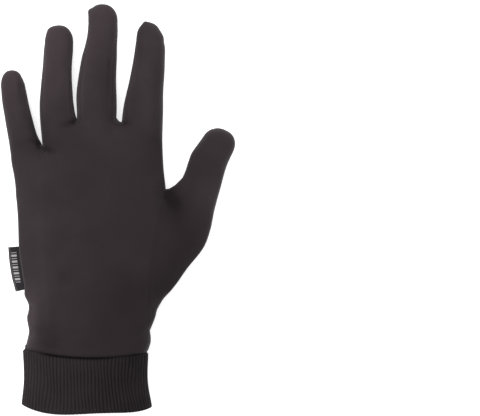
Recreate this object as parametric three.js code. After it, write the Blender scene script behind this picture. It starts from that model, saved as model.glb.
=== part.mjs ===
// A thin knitted glove for wearing under a motorcycle gauntlet: the left hand, lying on its palm.
// Millimetres. +X points to the thumb side, +Y to the fingertips and +Z out of the back of the hand.
// The origin is on the surface that the glove rests on, under the middle of its outline.
//
// The hand is cut and sewn from a back panel, a palm panel, three fourchettes (the strips between
// the fingers) and a thumb panel. A ribbed cuff closes the wrist, and a folded label stands in the
// outer side seam. Every panel is a cloth wall, so each finger is hollow to its tip.

import * as THREE from "three";

// Driving dimensions.
const WALL = 1.2; // cloth of the hand
const CUFF_WALL = 2.4; // rib knit, folded double
const SEAM_GAP = 0.3; // clearance between neighbouring pieces
const RIB_COUNT = 76; // ribs round the cuff
const RIB_HEIGHT = 0.5; // from the bottom of a groove to the top of a rib
const LABEL_THICKNESS = 1;

// Fineness of the mesh.
const ARC_STEPS = 6; // across the back or the front of one finger
const STRIP_STEPS = 4; // across a fourchette, an even number
const SECTIONS_PER_ROW = 2; // finger sections for each row of its table
const TIP_STEPS = 3; // rounds of a fingertip
const THUMB_SEAM_STEPS = 9; // along the thumb's base seam, from the wrist to the web

// How square a section is: 2 is an ellipse, and more is closer to a rectangle.
const HAND_SQUARENESS = { back: 2.5, palm: 2.8 };
const FINGER_SQUARENESS = { back: 2.1, palm: 2.5 };

// A section would reach this much deeper than the surface, which presses it flat.
const UNDERSIDE_FULLNESS = 1.14;

// How soon a fingertip narrows: 1 is a half circle, and less is blunter.
const TIP_BLUNTNESS = 0.86;

// Each finger, from its root to where its tip starts to round off. A row is one section: the left
// and right ends of its outline seen from above, the height of its side seams, the height of its
// back, and half the angle of the section that a fourchette takes up, in degrees.
const FINGER_ROWS = {
  little: [
    { leftX: -66.7, leftY: 33.4, rightX: -48.3, rightY: 40.0, seam: 8.8, back: 18.6, strip: 36 },
    { leftX: -68.6, leftY: 45.3, rightX: -51.2, rightY: 46.6, seam: 8.2, back: 17.6, strip: 34 },
    { leftX: -70.4, leftY: 57.2, rightX: -54.5, rightY: 58.4, seam: 7.6, back: 16.2, strip: 30 },
    { leftX: -72.0, leftY: 67.2, rightX: -56.9, rightY: 67.8, seam: 7.2, back: 15.2, strip: 20 },
    { leftX: -72.8, leftY: 75.9, rightX: -58.9, rightY: 77.0, seam: 7.0, back: 14.2, strip: 0 },
  ],
  ring: [
    { leftX: -46.9, leftY: 39.8, rightX: -26.8, rightY: 55.3, seam: 9.4, back: 20.6, strip: 38 },
    { leftX: -48.4, leftY: 54.1, rightX: -27.9, rightY: 61.6, seam: 9.0, back: 19.4, strip: 37 },
    { leftX: -48.9, leftY: 65.3, rightX: -28.9, rightY: 69.1, seam: 8.6, back: 18.6, strip: 36 },
    { leftX: -48.2, leftY: 77.8, rightX: -29.4, rightY: 79.1, seam: 8.2, back: 17.6, strip: 33 },
    { leftX: -47.1, leftY: 89.1, rightX: -29.4, rightY: 89.1, seam: 8.0, back: 16.8, strip: 29 },
    { leftX: -46.0, leftY: 97.8, rightX: -28.9, rightY: 98.2, seam: 7.8, back: 16.2, strip: 18 },
    { leftX: -45.5, leftY: 104.2, rightX: -28.7, rightY: 104.2, seam: 7.6, back: 15.4, strip: 0 },
  ],
  middle: [
    { leftX: -25.0, leftY: 55.4, rightX: -1.6, rightY: 54.6, seam: 9.8, back: 21.2, strip: 40 },
    { leftX: -25.6, leftY: 69.7, rightX: -1.9, rightY: 69.1, seam: 9.2, back: 20.0, strip: 38 },
    { leftX: -24.6, leftY: 81.6, rightX: -1.9, rightY: 81.6, seam: 8.8, back: 19.0, strip: 36 },
    { leftX: -22.6, leftY: 92.8, rightX: -1.7, rightY: 92.8, seam: 8.4, back: 18.0, strip: 33 },
    { leftX: -20.4, leftY: 101.6, rightX: -1.4, rightY: 101.6, seam: 8.1, back: 17.2, strip: 29 },
    { leftX: -19.1, leftY: 109.7, rightX: -0.9, rightY: 109.7, seam: 7.9, back: 16.4, strip: 18 },
    { leftX: -18.6, leftY: 117.4, rightX: -0.9, rightY: 117.4, seam: 7.7, back: 15.6, strip: 0 },
  ],
  index: [
    { leftX: 2.6, leftY: 54.2, rightX: 27.3, rightY: 51.6, seam: 9.4, back: 20.8, strip: 40 },
    { leftX: 3.7, leftY: 62.8, rightX: 27.5, rightY: 62.2, seam: 9.0, back: 19.8, strip: 38 },
    { leftX: 5.1, leftY: 70.3, rightX: 27.7, rightY: 70.3, seam: 8.7, back: 19.0, strip: 36 },
    { leftX: 7.6, leftY: 81.6, rightX: 28.2, rightY: 80.9, seam: 8.3, back: 18.0, strip: 33 },
    { leftX: 9.6, leftY: 91.6, rightX: 28.6, rightY: 90.9, seam: 8.0, back: 17.0, strip: 29 },
    { leftX: 10.6, leftY: 100.3, rightX: 28.7, rightY: 99.7, seam: 7.8, back: 16.2, strip: 18 },
    { leftX: 11.1, leftY: 106.2, rightX: 28.2, rightY: 105.4, seam: 7.6, back: 15.4, strip: 0 },
  ],
};
const FINGERS = [
  { name: "little", tip: 10.4, outerSide: "left" },
  { name: "ring", tip: 10.6 },
  { name: "middle", tip: 10.8 },
  { name: "index", tip: 10.8, outerSide: "right" },
];

// The thumb, from its seam on the hand to its tip. Left is the end at the web, and right is the end
// on the outer edge. Its first row is the base seam, which bows towards the palm. The hollow is the
// share of the height that the cloth loses behind the web.
const THUMB_ROWS = [
  { leftX: 29.4, leftY: 11.6, leftSeam: 12, rightX: 19.6, rightY: -75.9, rightSeam: 15, back: 25.5, bow: 2.8, hollow: 0.1 },
  { leftX: 32.4, leftY: 12.2, leftSeam: 11.8, rightX: 27.4, rightY: -56.6, rightSeam: 14.2, back: 24.8, bow: 1.4, hollow: 0.34 },
  { leftX: 36.1, leftY: 14.8, leftSeam: 11.4, rightX: 40.6, rightY: -39.8, rightSeam: 13.2, back: 23.8, bow: 0.4, hollow: 0.34 },
  { leftX: 39.4, leftY: 18.6, leftSeam: 10.8, rightX: 52.0, rightY: -25.2, rightSeam: 12, back: 22.8, bow: 0, hollow: 0.2 },
  { leftX: 41.8, leftY: 22.8, leftSeam: 10.4, rightX: 57.0, rightY: -13.6, rightSeam: 11, back: 21.8, bow: 0, hollow: 0.08 },
  { leftX: 43.9, leftY: 28.4, leftSeam: 9.8, rightX: 59.8, rightY: -0.3, rightSeam: 10, back: 20.6, bow: 0, hollow: 0 },
  { leftX: 46.4, leftY: 34.4, leftSeam: 9.2, rightX: 63.2, rightY: 13.4, rightSeam: 9.4, back: 19.4, bow: 0, hollow: 0 },
  { leftX: 50.0, leftY: 39.8, leftSeam: 8.8, rightX: 66.9, rightY: 26.0, rightSeam: 8.8, back: 18.4, bow: 0, hollow: 0 },
  { leftX: 53.3, leftY: 44.4, leftSeam: 8.4, rightX: 71.6, rightY: 35.4, rightSeam: 8.4, back: 17.4, bow: 0, hollow: 0 },
];
const THUMB_TIP = 10.6;

// The body of the hand, from the hem at the cuff to the roots of the fingers. The sag is how far a
// row hangs towards the cuff at the middle of the back. The splay is how far a row has parted into
// the four fingers. Rows with a thumb step end on that step of the thumb's base seam.
const HAND_ROWS = [
  { leftX: -57.2, leftY: -88.3, leftSeam: 17.2, rightX: 17.6, rightY: -89.5, rightSeam: 17.2, back: 33.0, sag: 4.4, splay: 0 },
  { leftX: -58.3, leftY: -86.7, leftSeam: 17, rightX: 18.6, rightY: -88.0, rightSeam: 17, back: 34.0, sag: 4.2, splay: 0 },
  { leftX: -56.8, leftY: -82.0, leftSeam: 16.4, rightX: 20.2, rightY: -82.2, rightSeam: 16, back: 33.0, sag: 3.2, splay: 0 },
  { leftX: -55.2, leftY: -76.6, leftSeam: 15.8, back: 31.8, sag: 2.2, splay: 0, thumbStep: 0 },
  { leftX: -55.6, leftY: -72.6, leftSeam: 15.4, back: 31.3, sag: 1.7, splay: 0, thumbStep: 1 },
  { leftX: -56.4, leftY: -67.6, leftSeam: 15.0, back: 30.8, sag: 1.1, splay: 0, thumbStep: 2 },
  { leftX: -55.4, leftY: -60.2, leftSeam: 14.4, back: 30.4, sag: 0.5, splay: 0, thumbStep: 3 },
  { leftX: -58.4, leftY: -46.0, leftSeam: 13.6, back: 29.9, sag: 0, splay: 0, thumbStep: 4 },
  { leftX: -60.9, leftY: -29.6, leftSeam: 12.8, back: 29.4, sag: 0, splay: 0, thumbStep: 5 },
  { leftX: -62.0, leftY: -15.0, leftSeam: 12.1, back: 28.9, sag: 0, splay: 0, thumbStep: 6 },
  { leftX: -62.3, leftY: -3.6, leftSeam: 11.5, back: 28.6, sag: 0, splay: 0, thumbStep: 7 },
  { leftX: -62.7, leftY: 3.4, leftSeam: 11.0, back: 28.3, sag: 0, splay: 0, thumbStep: 8 },
  { leftX: -63.2, leftY: 7.6, leftSeam: 10.7, back: 28.0, sag: 0, splay: 0, thumbStep: 9 },
  { leftX: -64.2, leftY: 14.2, leftSeam: 10.2, rightX: 28.6, rightY: 20.2, rightSeam: 11.2, back: 27.4, sag: 0, splay: 0.16 },
  { leftX: -65.3, leftY: 21.6, leftSeam: 9.7, rightX: 27.8, rightY: 30.0, rightSeam: 10.4, back: 26.6, sag: 0, splay: 0.5 },
  { leftX: -66.1, leftY: 28.2, leftSeam: 9.2, rightX: 27.2, rightY: 41.0, rightSeam: 9.8, back: 25.8, sag: 0, splay: 0.84 },
  { leftX: -66.7, leftY: 33.4, leftSeam: 8.8, rightX: 27.3, rightY: 51.6, rightSeam: 9.4, back: 25.0, sag: 0, splay: 1 },
];

// The web between two fingers is a strip turned round the bottom of the gap.
const WEB_DIP = { middleOfStrip: 0.8, seams: 2.6 };

// The cuff, from the hand's hem to its open end.
const CUFF_ROWS = [
  { at: 0, leftX: -58.2, leftY: -88.7, rightX: 17.6, rightY: -89.9, seam: 17.2, back: 33.0, sag: 4.4, skew: 0 },
  { at: 0.04, leftX: -58.9, leftY: -90.2, rightX: 18.0, rightY: -91.3, seam: 17.2, back: 33.8, sag: 4.4, skew: 0 },
  { at: 0.5, leftX: -58.2, leftY: -106.4, rightX: 18.4, rightY: -107.4, seam: 17.4, back: 34.4, sag: 4.8, skew: 0.2 },
  { at: 0.96, leftX: -60.2, leftY: -120.6, rightX: 20.2, rightY: -122.4, seam: 17.8, back: 35.4, sag: 5.2, skew: 0.45 },
  { at: 1, leftX: -59.4, leftY: -121.8, rightX: 19.4, rightY: -123.6, seam: 17.8, back: 34.8, sag: 5.2, skew: 0.45 },
];
const PALM_SIDE_SAG = -0.3; // on the palm side the edges rise by this share of the sag

// The label, from its end nearer the fingers. It leaves the left side seam and hangs a little.
const LABEL_ROWS = [
  { seamY: -23.6, outerX: -68.6, outerY: -24.1, outerZ: 12.4 },
  { seamY: -32.4, outerX: -67.8, outerY: -33.6, outerZ: 12.0 },
  { seamY: -41.4, outerX: -66.2, outerY: -43.2, outerZ: 12.2 },
  { seamY: -50.3, outerX: -63.9, outerY: -51.9, outerZ: 12.8 },
];

const { lerp, clamp, degToRad } = THREE.MathUtils;

// Every numeric column of two neighbouring rows, mixed.
function mixRows(a, b, share) {
  const mixed = {};
  for (const column of Object.keys(a)) {
    if (typeof a[column] === "number" && typeof b[column] === "number") {
      mixed[column] = lerp(a[column], b[column], share);
    }
  }
  return mixed;
}

// How high a section stands at a place across it, as a share of its full height: 0 at its ends.
function heightShare(across, squareness) {
  return (1 - Math.min(1, Math.abs(across)) ** squareness) ** (1 / squareness);
}

// One section of the hand, a finger or the cuff: a vertical slice between two points of the outline.
class Section {
  constructor(shape) {
    Object.assign(this, { bow: 0, hollow: 0, sag: 0, skew: 0, scale: 1 }, shape);
  }

  // The point at a place across the section, from -1 at the left end to 1 at the right.
  pointAcross(across, upper) {
    const point = this.left.clone().lerp(this.right, (1 + across) / 2);
    const share = this.scale * heightShare(across, this.squareness[upper ? "back" : "palm"]);
    const arch = 1 - across ** 2;
    point.x -= this.bow * arch;
    point.y -= this.sag * arch * (1 - this.skew * across) * (upper ? 1 : PALM_SIDE_SAG);
    if (upper) {
      point.z += (this.back - point.z) * share * (1 - this.hollow * ((1 - across) / 2) ** 2);
    } else {
      point.z = Math.max(0, point.z - UNDERSIDE_FULLNESS * point.z * share);
    }
    return point;
  }

  // The point at an angle round the section: 0 is the right end, and 90 degrees the back.
  pointAt(angle) {
    const upper = Math.sin(angle) >= 0;
    const cosine = Math.cos(angle);
    const power = 2 / this.squareness[upper ? "back" : "palm"];
    return this.pointAcross(Math.sign(cosine) * Math.abs(cosine) ** power, upper);
  }
}

// The sections that round a finger off, from its last full section to the point of its tip.
function tipSections(last, length) {
  const forward = new THREE.Vector3().subVectors(last.right, last.left);
  forward.set(-forward.y, forward.x, 0).normalize();
  const centre = last.left.clone().add(last.right).multiplyScalar(0.5);
  return Array.from({ length: TIP_STEPS }, (_, step) => {
    const turn = ((step + 1) / TIP_STEPS) * (Math.PI / 2);
    const width = step + 1 === TIP_STEPS ? 0 : Math.cos(turn) ** TIP_BLUNTNESS;
    const place = centre.clone().addScaledVector(forward, length * Math.sin(turn));
    const ends = [last.left, last.right].map((end) => {
      return place.clone().addScaledVector(end.clone().sub(centre), width);
    });
    return new Section({ ...last, left: ends[0], right: ends[1], scale: width });
  });
}

// A finger's sections with the half angles of the strips at its two sides.
function fingerSections({ name, tip, outerSide }) {
  const rows = FINGER_ROWS[name];
  const sections = [];
  const strips = [];
  for (let step = 0; step <= (rows.length - 1) * SECTIONS_PER_ROW; step += 1) {
    const row = Math.min(Math.floor(step / SECTIONS_PER_ROW), rows.length - 2);
    const mixed = mixRows(rows[row], rows[row + 1], step / SECTIONS_PER_ROW - row);
    sections.push(
      new Section({
        left: new THREE.Vector3(mixed.leftX, mixed.leftY, mixed.seam),
        right: new THREE.Vector3(mixed.rightX, mixed.rightY, mixed.seam),
        back: mixed.back,
        squareness: FINGER_SQUARENESS,
      }),
    );
    strips.push(degToRad(mixed.strip));
  }
  const rounded = tipSections(sections.at(-1), tip);
  const stripAt = (side, step) => (side === outerSide ? 0 : (strips[step] ?? 0));
  return { sections: [...sections, ...rounded], stripAt, stripEnd: strips.length - 1 };
}

// The points over the back, or under the front, of a finger at one step, from left to right.
function fingerArc(finger, step, upper) {
  const section = finger.sections[step];
  const left = Math.PI - finger.stripAt("left", step);
  const right = finger.stripAt("right", step);
  return Array.from({ length: ARC_STEPS + 1 }, (_, k) => {
    const angle = lerp(left, right, k / ARC_STEPS);
    return section.pointAt(upper ? angle : 2 * Math.PI - angle);
  });
}

// The points of a fourchette beside one finger, from its palm seam up to its back seam.
function stripColumn(finger, side, step) {
  const half = finger.stripAt(side, step);
  const section = finger.sections[step];
  return Array.from({ length: STRIP_STEPS + 1 }, (_, k) => {
    const turn = lerp(-half, half, k / STRIP_STEPS);
    return section.pointAt(side === "right" ? turn + (turn < 0 ? 2 * Math.PI : 0) : Math.PI - turn);
  });
}

// The middle column of a web, where the strip turns from one finger to the next.
function webColumn(from, to) {
  return from.map((point, k) => {
    const towardsSeam = (2 * k) / STRIP_STEPS - 1;
    const middle = point.clone().add(to[k]).multiplyScalar(0.5);
    middle.y -= lerp(WEB_DIP.middleOfStrip, WEB_DIP.seams, towardsSeam ** 2);
    return middle;
  });
}

// The outer face of the whole hand, as triangles that share their points across every seam.
class Skin {
  constructor() {
    this.points = [];
    this.keys = new Map();
    this.panels = new Map();
  }

  // The number of a point, the same for each patch that meets there.
  number(point) {
    const key = [point.x, point.y, point.z].map((value) => Math.round(value * 1e4)).join();
    if (!this.keys.has(key)) {
      this.keys.set(key, this.points.push(point.clone()) - 1);
    }
    return this.keys.get(key);
  }

  // Adds a grid of points to a panel. Rows run away from the viewer's feet and columns to the right
  // on a face seen from outside, or the other way round where the grid is turned over.
  addGrid(panel, grid, turnedOver = false) {
    const triangles = this.panels.get(panel) ?? [];
    this.panels.set(panel, triangles);
    const numbers = grid.map((row) => row.map((point) => this.number(point)));
    for (let r = 0; r + 1 < numbers.length; r += 1) {
      for (let c = 0; c + 1 < numbers[r].length; c += 1) {
        const [a, b] = [numbers[r][c], numbers[r][c + 1]];
        const [d, e] = [numbers[r + 1][c], numbers[r + 1][c + 1]];
        for (const triangle of [[a, b, e], [a, e, d]]) {
          if (new Set(triangle).size === 3) {
            triangles.push(turnedOver ? triangle.reverse() : triangle);
          }
        }
      }
    }
  }

  // The outward direction at each point, weighted by the area of the faces round it.
  normals() {
    const sums = this.points.map(() => new THREE.Vector3());
    const edges = [new THREE.Vector3(), new THREE.Vector3()];
    for (const [a, b, c] of [...this.panels.values()].flat()) {
      edges[0].subVectors(this.points[b], this.points[a]);
      edges[1].subVectors(this.points[c], this.points[a]);
      const face = edges[0].cross(edges[1]);
      for (const corner of [a, b, c]) {
        sums[corner].add(face);
      }
    }
    return sums.map((sum) => sum.normalize());
  }

  // A panel as a closed wall: its outer face, the same face moved inwards, and the cut edge between
  // them. The edge is drawn back from the seam so that neighbouring panels keep their gap.
  wallGeometry(panel, thickness) {
    const triangles = this.panels.get(panel);
    const normals = this.normals();
    const edges = rimEdges(triangles);
    const inwards = new Map();
    for (const [from, to] of edges) {
      const along = this.points[to].clone().sub(this.points[from]);
      for (const end of [from, to]) {
        const inward = normals[end].clone().cross(along).normalize();
        inwards.set(end, [...(inwards.get(end) ?? []), inward]);
      }
    }
    const places = new Map();
    const positions = [];
    for (const number of new Set(triangles.flat())) {
      const point = this.points[number].clone();
      if (inwards.has(number)) {
        const [first, second] = inwards.get(number);
        const pull = first.clone().add(second).normalize();
        point.addScaledVector(pull, SEAM_GAP / 2 / Math.max(0.5, pull.dot(first)));
        point.z = Math.max(0, point.z);
      }
      places.set(number, positions.length / 3);
      positions.push(...point, ...point.clone().addScaledVector(normals[number], -thickness));
    }
    const index = triangles.flatMap((triangle) => {
      const [a, b, c] = triangle.map((number) => places.get(number));
      return [a, b, c, a + 1, c + 1, b + 1];
    });
    for (const [from, to] of edges) {
      const [a, b] = [places.get(from), places.get(to)];
      // Both panels at a seam split its edge along the same diagonal.
      const halves = from < to ? [b, a, a + 1, b, a + 1, b + 1] : [b, a, b + 1, a, a + 1, b + 1];
      index.push(...halves);
    }
    return indexedGeometry(positions, index);
  }
}

// The edges that only one triangle of a panel has, each in that triangle's direction.
function rimEdges(triangles) {
  const edges = new Map();
  for (const triangle of triangles) {
    triangle.forEach((from, k) => {
      const to = triangle[(k + 1) % 3];
      if (!edges.delete([to, from].join())) {
        edges.set([from, to].join(), [from, to]);
      }
    });
  }
  return [...edges.values()];
}

function indexedGeometry(positions, index) {
  const geometry = new THREE.BufferGeometry();
  geometry.setAttribute("position", new THREE.Float32BufferAttribute(positions, 3));
  geometry.setIndex(index);
  geometry.computeVertexNormals();
  return geometry;
}

// The thumb's sections, from the base seam to the point of its tip.
function thumbSections() {
  const rows = THUMB_ROWS.map((row) => {
    return new Section({
      left: new THREE.Vector3(row.leftX, row.leftY, row.leftSeam),
      right: new THREE.Vector3(row.rightX, row.rightY, row.rightSeam),
      back: row.back,
      bow: row.bow,
      hollow: row.hollow,
      squareness: FINGER_SQUARENESS,
    });
  });
  return [...rows, ...tipSections(rows.at(-1), THUMB_TIP)];
}

// A closed round of points on a thumb section, from the outer edge over the back to the web and on
// under the front.
function thumbRound(section) {
  return Array.from({ length: 2 * THUMB_SEAM_STEPS + 1 }, (_, k) => {
    const step = k % (2 * THUMB_SEAM_STEPS);
    return section.pointAt((step / THUMB_SEAM_STEPS) * Math.PI);
  });
}

// One row of the hand's body at given shares of its width. Where the row ends on the thumb's seam,
// its section is cut short at that height.
function handRow(row, thumbBase, shares, upper) {
  const onThumb = row.thumbStep !== undefined;
  const turn = ((row.thumbStep ?? 0) / THUMB_SEAM_STEPS) * Math.PI;
  const end = onThumb
    ? thumbBase.pointAt(upper ? turn : 2 * Math.PI - turn)
    : new THREE.Vector3(row.rightX, row.rightY, row.rightSeam);
  const seam = onThumb
    ? lerp(thumbBase.right.z, thumbBase.left.z, row.thumbStep / THUMB_SEAM_STEPS)
    : row.rightSeam;
  const squareness = HAND_SQUARENESS[upper ? "back" : "palm"];
  const left = new THREE.Vector3(row.leftX, row.leftY, row.leftSeam);
  const section = new Section({
    left,
    right: new THREE.Vector3(end.x, end.y, seam),
    back: row.back,
    sag: row.sag,
    squareness: HAND_SQUARENESS,
  });
  const rise = upper ? (end.z - seam) / (row.back - seam) : (seam - end.z) / (UNDERSIDE_FULLNESS * seam);
  const cut = onThumb ? heightShare(clamp(rise, 0, 1), squareness) : 1;
  return shares.map((share) => {
    if (onThumb && share === 1) {
      return end;
    }
    const across = share * (1 + cut) - 1;
    const plan = left.clone().lerp(section.right, share);
    const point = section.pointAcross(across, upper);
    point.x = plan.x;
    point.y = plan.y - row.sag * (1 - across ** 2) * (upper ? 1 : PALM_SIDE_SAG);
    return point;
  });
}

// The back or the front of the hand: rows that start as one section and part into the fingers.
function handGrid(roots, thumbBase, upper) {
  const last = HAND_ROWS.at(-1);
  const left = new THREE.Vector2(last.leftX, last.leftY);
  const width = new THREE.Vector2(last.rightX, last.rightY).sub(left);
  const shares = roots.map((root) => {
    return clamp(new THREE.Vector2(root.x, root.y).sub(left).dot(width) / width.lengthSq(), 0, 1);
  });
  const unparted = handRow(last, thumbBase, shares, upper);
  return HAND_ROWS.map((row) => {
    if (row === last) {
      return roots;
    }
    return handRow(row, thumbBase, shares, upper).map((point, k) => {
      return point.add(roots[k].clone().sub(unparted[k]).multiplyScalar(row.splay));
    });
  });
}

// Sews the whole hand.
function buildSkin() {
  const skin = new Skin();
  const fingers = FINGERS.map(fingerSections);
  const webs = fingers.slice(1).map((finger, k) => {
    return webColumn(stripColumn(fingers[k], "right", 0), stripColumn(finger, "left", 0));
  });
  const thumb = thumbSections();
  for (const upper of [true, false]) {
    const panel = upper ? "back_panel" : "palm_panel";
    const roots = fingers.flatMap((finger, k) => {
      const web = webs[k] ? [webs[k].at(upper ? -1 : 0)] : [];
      return [...fingerArc(finger, 0, upper), ...web];
    });
    skin.addGrid(panel, handGrid(roots, thumb[0], upper), !upper);
    for (const finger of fingers) {
      const rows = finger.sections.map((_, step) => fingerArc(finger, step, upper));
      skin.addGrid(panel, rows, !upper);
    }
  }
  webs.forEach((web, k) => {
    const [from, to] = [fingers[k], fingers[k + 1]];
    const steps = (finger) => Array.from({ length: finger.stripEnd + 1 }, (_, step) => step);
    const down = steps(from).reverse().map((step) => stripColumn(from, "right", step));
    const up = steps(to).map((step) => stripColumn(to, "left", step));
    skin.addGrid(fourchetteName(k), [...down, web, ...up]);
  });
  skin.addGrid("thumb_panel", thumb.map(thumbRound), true);
  return skin;
}

function fourchetteName(k) {
  return `fourchette_${FINGERS[k].name}_${FINGERS[k + 1].name}`;
}

// The ribbed cuff: a closed profile of the folded knit, carried round the wrist rib by rib.
function cuffGeometry() {
  const outside = CUFF_ROWS.map(({ at }) => ({ at, inset: 0, ribbed: at > 0 && at < 1 }));
  const inside = [1, 0.5, 0].map((at) => ({ at, inset: CUFF_WALL, ribbed: false }));
  const profile = [...outside, ...inside];
  const columns = 2 * RIB_COUNT;
  const positions = [];
  const index = [];
  for (let column = 0; column < columns; column += 1) {
    const angle = (column / columns) * 2 * Math.PI;
    profile.forEach(({ at, inset, ribbed }, k) => {
      const groove = ribbed && column % 2 ? RIB_HEIGHT : 0;
      const point = cuffSection(at, inset + groove).pointAt(angle);
      point.z = Math.max(point.z, inset);
      positions.push(...point);
      const [a, b] = [k, (k + 1) % profile.length].map((row) => column * profile.length + row);
      const across = ((column + 1) % columns) * profile.length - column * profile.length;
      index.push(a, a + across, b, b, a + across, b + across);
    });
  }
  return indexedGeometry(positions, index);
}

// The cuff's section at a share of its length, drawn in by an inset.
function cuffSection(at, inset) {
  const next = Math.max(1, CUFF_ROWS.findIndex((row) => row.at >= at));
  const [a, b] = [CUFF_ROWS[next - 1], CUFF_ROWS[next]];
  const row = mixRows(a, b, (at - a.at) / (b.at - a.at));
  return new Section({
    left: new THREE.Vector3(row.leftX + inset, row.leftY, row.seam),
    right: new THREE.Vector3(row.rightX - inset, row.rightY, row.seam),
    back: row.back - inset,
    sag: row.sag,
    skew: row.skew,
    squareness: HAND_SQUARENESS,
  });
}

// The folded label, a thin tab whose inner edge follows the side seam.
function labelGeometry() {
  const seamAt = (y) => {
    const next = HAND_ROWS.findIndex((row) => row.leftY >= y);
    const [a, b] = [HAND_ROWS[next - 1], HAND_ROWS[next]];
    return mixRows(a, b, (y - a.leftY) / (b.leftY - a.leftY));
  };
  const positions = [];
  const index = [];
  for (const row of LABEL_ROWS) {
    const seam = seamAt(row.seamY);
    const inner = new THREE.Vector3(seam.leftX - SEAM_GAP, row.seamY, seam.leftSeam);
    const outer = new THREE.Vector3(row.outerX, row.outerY, row.outerZ);
    for (const edge of [inner, outer]) {
      for (const side of [1, -1]) {
        positions.push(edge.x, edge.y, edge.z + (side * LABEL_THICKNESS) / 2);
      }
    }
  }
  // Each row has four corners: inner top, inner bottom, outer top and outer bottom.
  const round = [0, 1, 3, 2];
  for (let row = 0; row + 1 < LABEL_ROWS.length; row += 1) {
    round.forEach((corner, k) => {
      const [a, b] = [4 * row + corner, 4 * row + round[(k + 1) % 4]];
      index.push(a, a + 4, b, b, a + 4, b + 4);
    });
  }
  const end = 4 * (LABEL_ROWS.length - 1);
  index.push(0, 1, 2, 2, 1, 3, end, end + 2, end + 1, end + 1, end + 2, end + 3);
  return indexedGeometry(positions, index);
}

const knit = new THREE.MeshStandardMaterial({ color: 0x383133, roughness: 0.9, metalness: 0 });
const ribKnit = new THREE.MeshStandardMaterial({ color: 0x2c2729, roughness: 0.95, metalness: 0 });
const tape = new THREE.MeshStandardMaterial({ color: 0x3f3c3e, roughness: 0.6, metalness: 0 });

function piece(name, geometry, material) {
  const mesh = new THREE.Mesh(geometry, material);
  mesh.name = name;
  return mesh;
}

const skin = buildSkin();
const glove = new THREE.Group();
glove.name = "glove";
for (const panel of skin.panels.keys()) {
  glove.add(piece(panel, skin.wallGeometry(panel, WALL), knit));
}
glove.add(piece("rib_cuff", cuffGeometry(), ribKnit));
glove.add(piece("side_label", labelGeometry(), tape));

export default glove;
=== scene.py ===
"""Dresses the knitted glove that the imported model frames, and sets up its camera and light.

Lengths are worked out in millimetres and become metres as they enter a mesh. +X points to the thumb,
+Y to the fingertips and +Z out of the back of the hand. The cloth is one sewn skin: sections of the
hand, the fingers and the thumb are read from short tables, woven into grids with numpy, welded along
the seams, relaxed and creased, and then cut back into its panels, each a wall of its own.
"""

from __future__ import annotations

import logging
import math
from collections.abc import Mapping, Sequence
from dataclasses import dataclass, field, fields
from enum import Enum

import bpy
import numpy as np
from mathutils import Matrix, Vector


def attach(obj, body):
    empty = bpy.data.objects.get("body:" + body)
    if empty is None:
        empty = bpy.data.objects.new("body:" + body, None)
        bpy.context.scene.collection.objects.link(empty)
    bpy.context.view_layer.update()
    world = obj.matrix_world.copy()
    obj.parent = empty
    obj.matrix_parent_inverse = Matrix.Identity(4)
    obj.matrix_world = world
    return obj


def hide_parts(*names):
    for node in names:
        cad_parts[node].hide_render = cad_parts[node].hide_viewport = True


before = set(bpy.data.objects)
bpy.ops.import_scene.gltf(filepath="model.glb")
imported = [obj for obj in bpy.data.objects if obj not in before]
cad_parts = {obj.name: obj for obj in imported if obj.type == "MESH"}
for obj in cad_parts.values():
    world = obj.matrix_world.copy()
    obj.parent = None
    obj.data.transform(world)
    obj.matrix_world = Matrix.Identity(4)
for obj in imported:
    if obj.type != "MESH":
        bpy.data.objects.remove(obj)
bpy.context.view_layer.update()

log = logging.getLogger("glove")

MM = 0.001
BODY = "root"
Array = np.ndarray


# ---- Reading tables ----


@dataclass(frozen=True)
class RowTable:
    """Rows of named columns that can be read at any place between them."""

    columns: tuple[str, ...]
    rows: tuple[tuple[float, ...], ...]

    @property
    def last(self) -> int:
        """The number of the last row, counted from 0."""
        return len(self.rows) - 1

    def read(self, place: Array, smooth: bool = True) -> dict[str, Array]:
        """Reads every column at fractional row numbers.

        The smooth reading is the cubic that passes through each row with the slope from the row
        before it to the row after it. The other one is a straight line from row to row.

        Args:
            place: Row numbers, which may lie between rows.
            smooth: Whether to round the corners at the rows.

        Returns:
            The values of each column, by its name.
        """
        rows = np.array(self.rows, float)
        start = np.clip(np.floor(place).astype(int), 0, self.last - 1)
        share = (place - start)[:, None]
        here, there = rows[start], rows[start + 1]
        if not smooth:
            values = here + (there - here) * share
        else:
            before = np.where(start[:, None] > 0, rows[np.maximum(start - 1, 0)], 2 * here - there)
            beyond = rows[np.minimum(start + 2, self.last)]
            after = np.where(start[:, None] + 2 <= self.last, beyond, 2 * there - here)
            slope_here, slope_there = (there - before) / 2, (after - here) / 2
            square, cube = share**2, share**3
            values = (
                (2 * cube - 3 * square + 1) * here
                + (cube - 2 * square + share) * slope_here
                + (3 * square - 2 * cube) * there
                + (cube - square) * slope_there
            )
        return {name: values[:, k] for k, name in enumerate(self.columns)}


def points_of(row: Mapping[str, Array], *names: str) -> Array:
    """Points whose coordinates are three columns of a table that has been read."""
    return np.stack([row[name] for name in names], 1)


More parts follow.
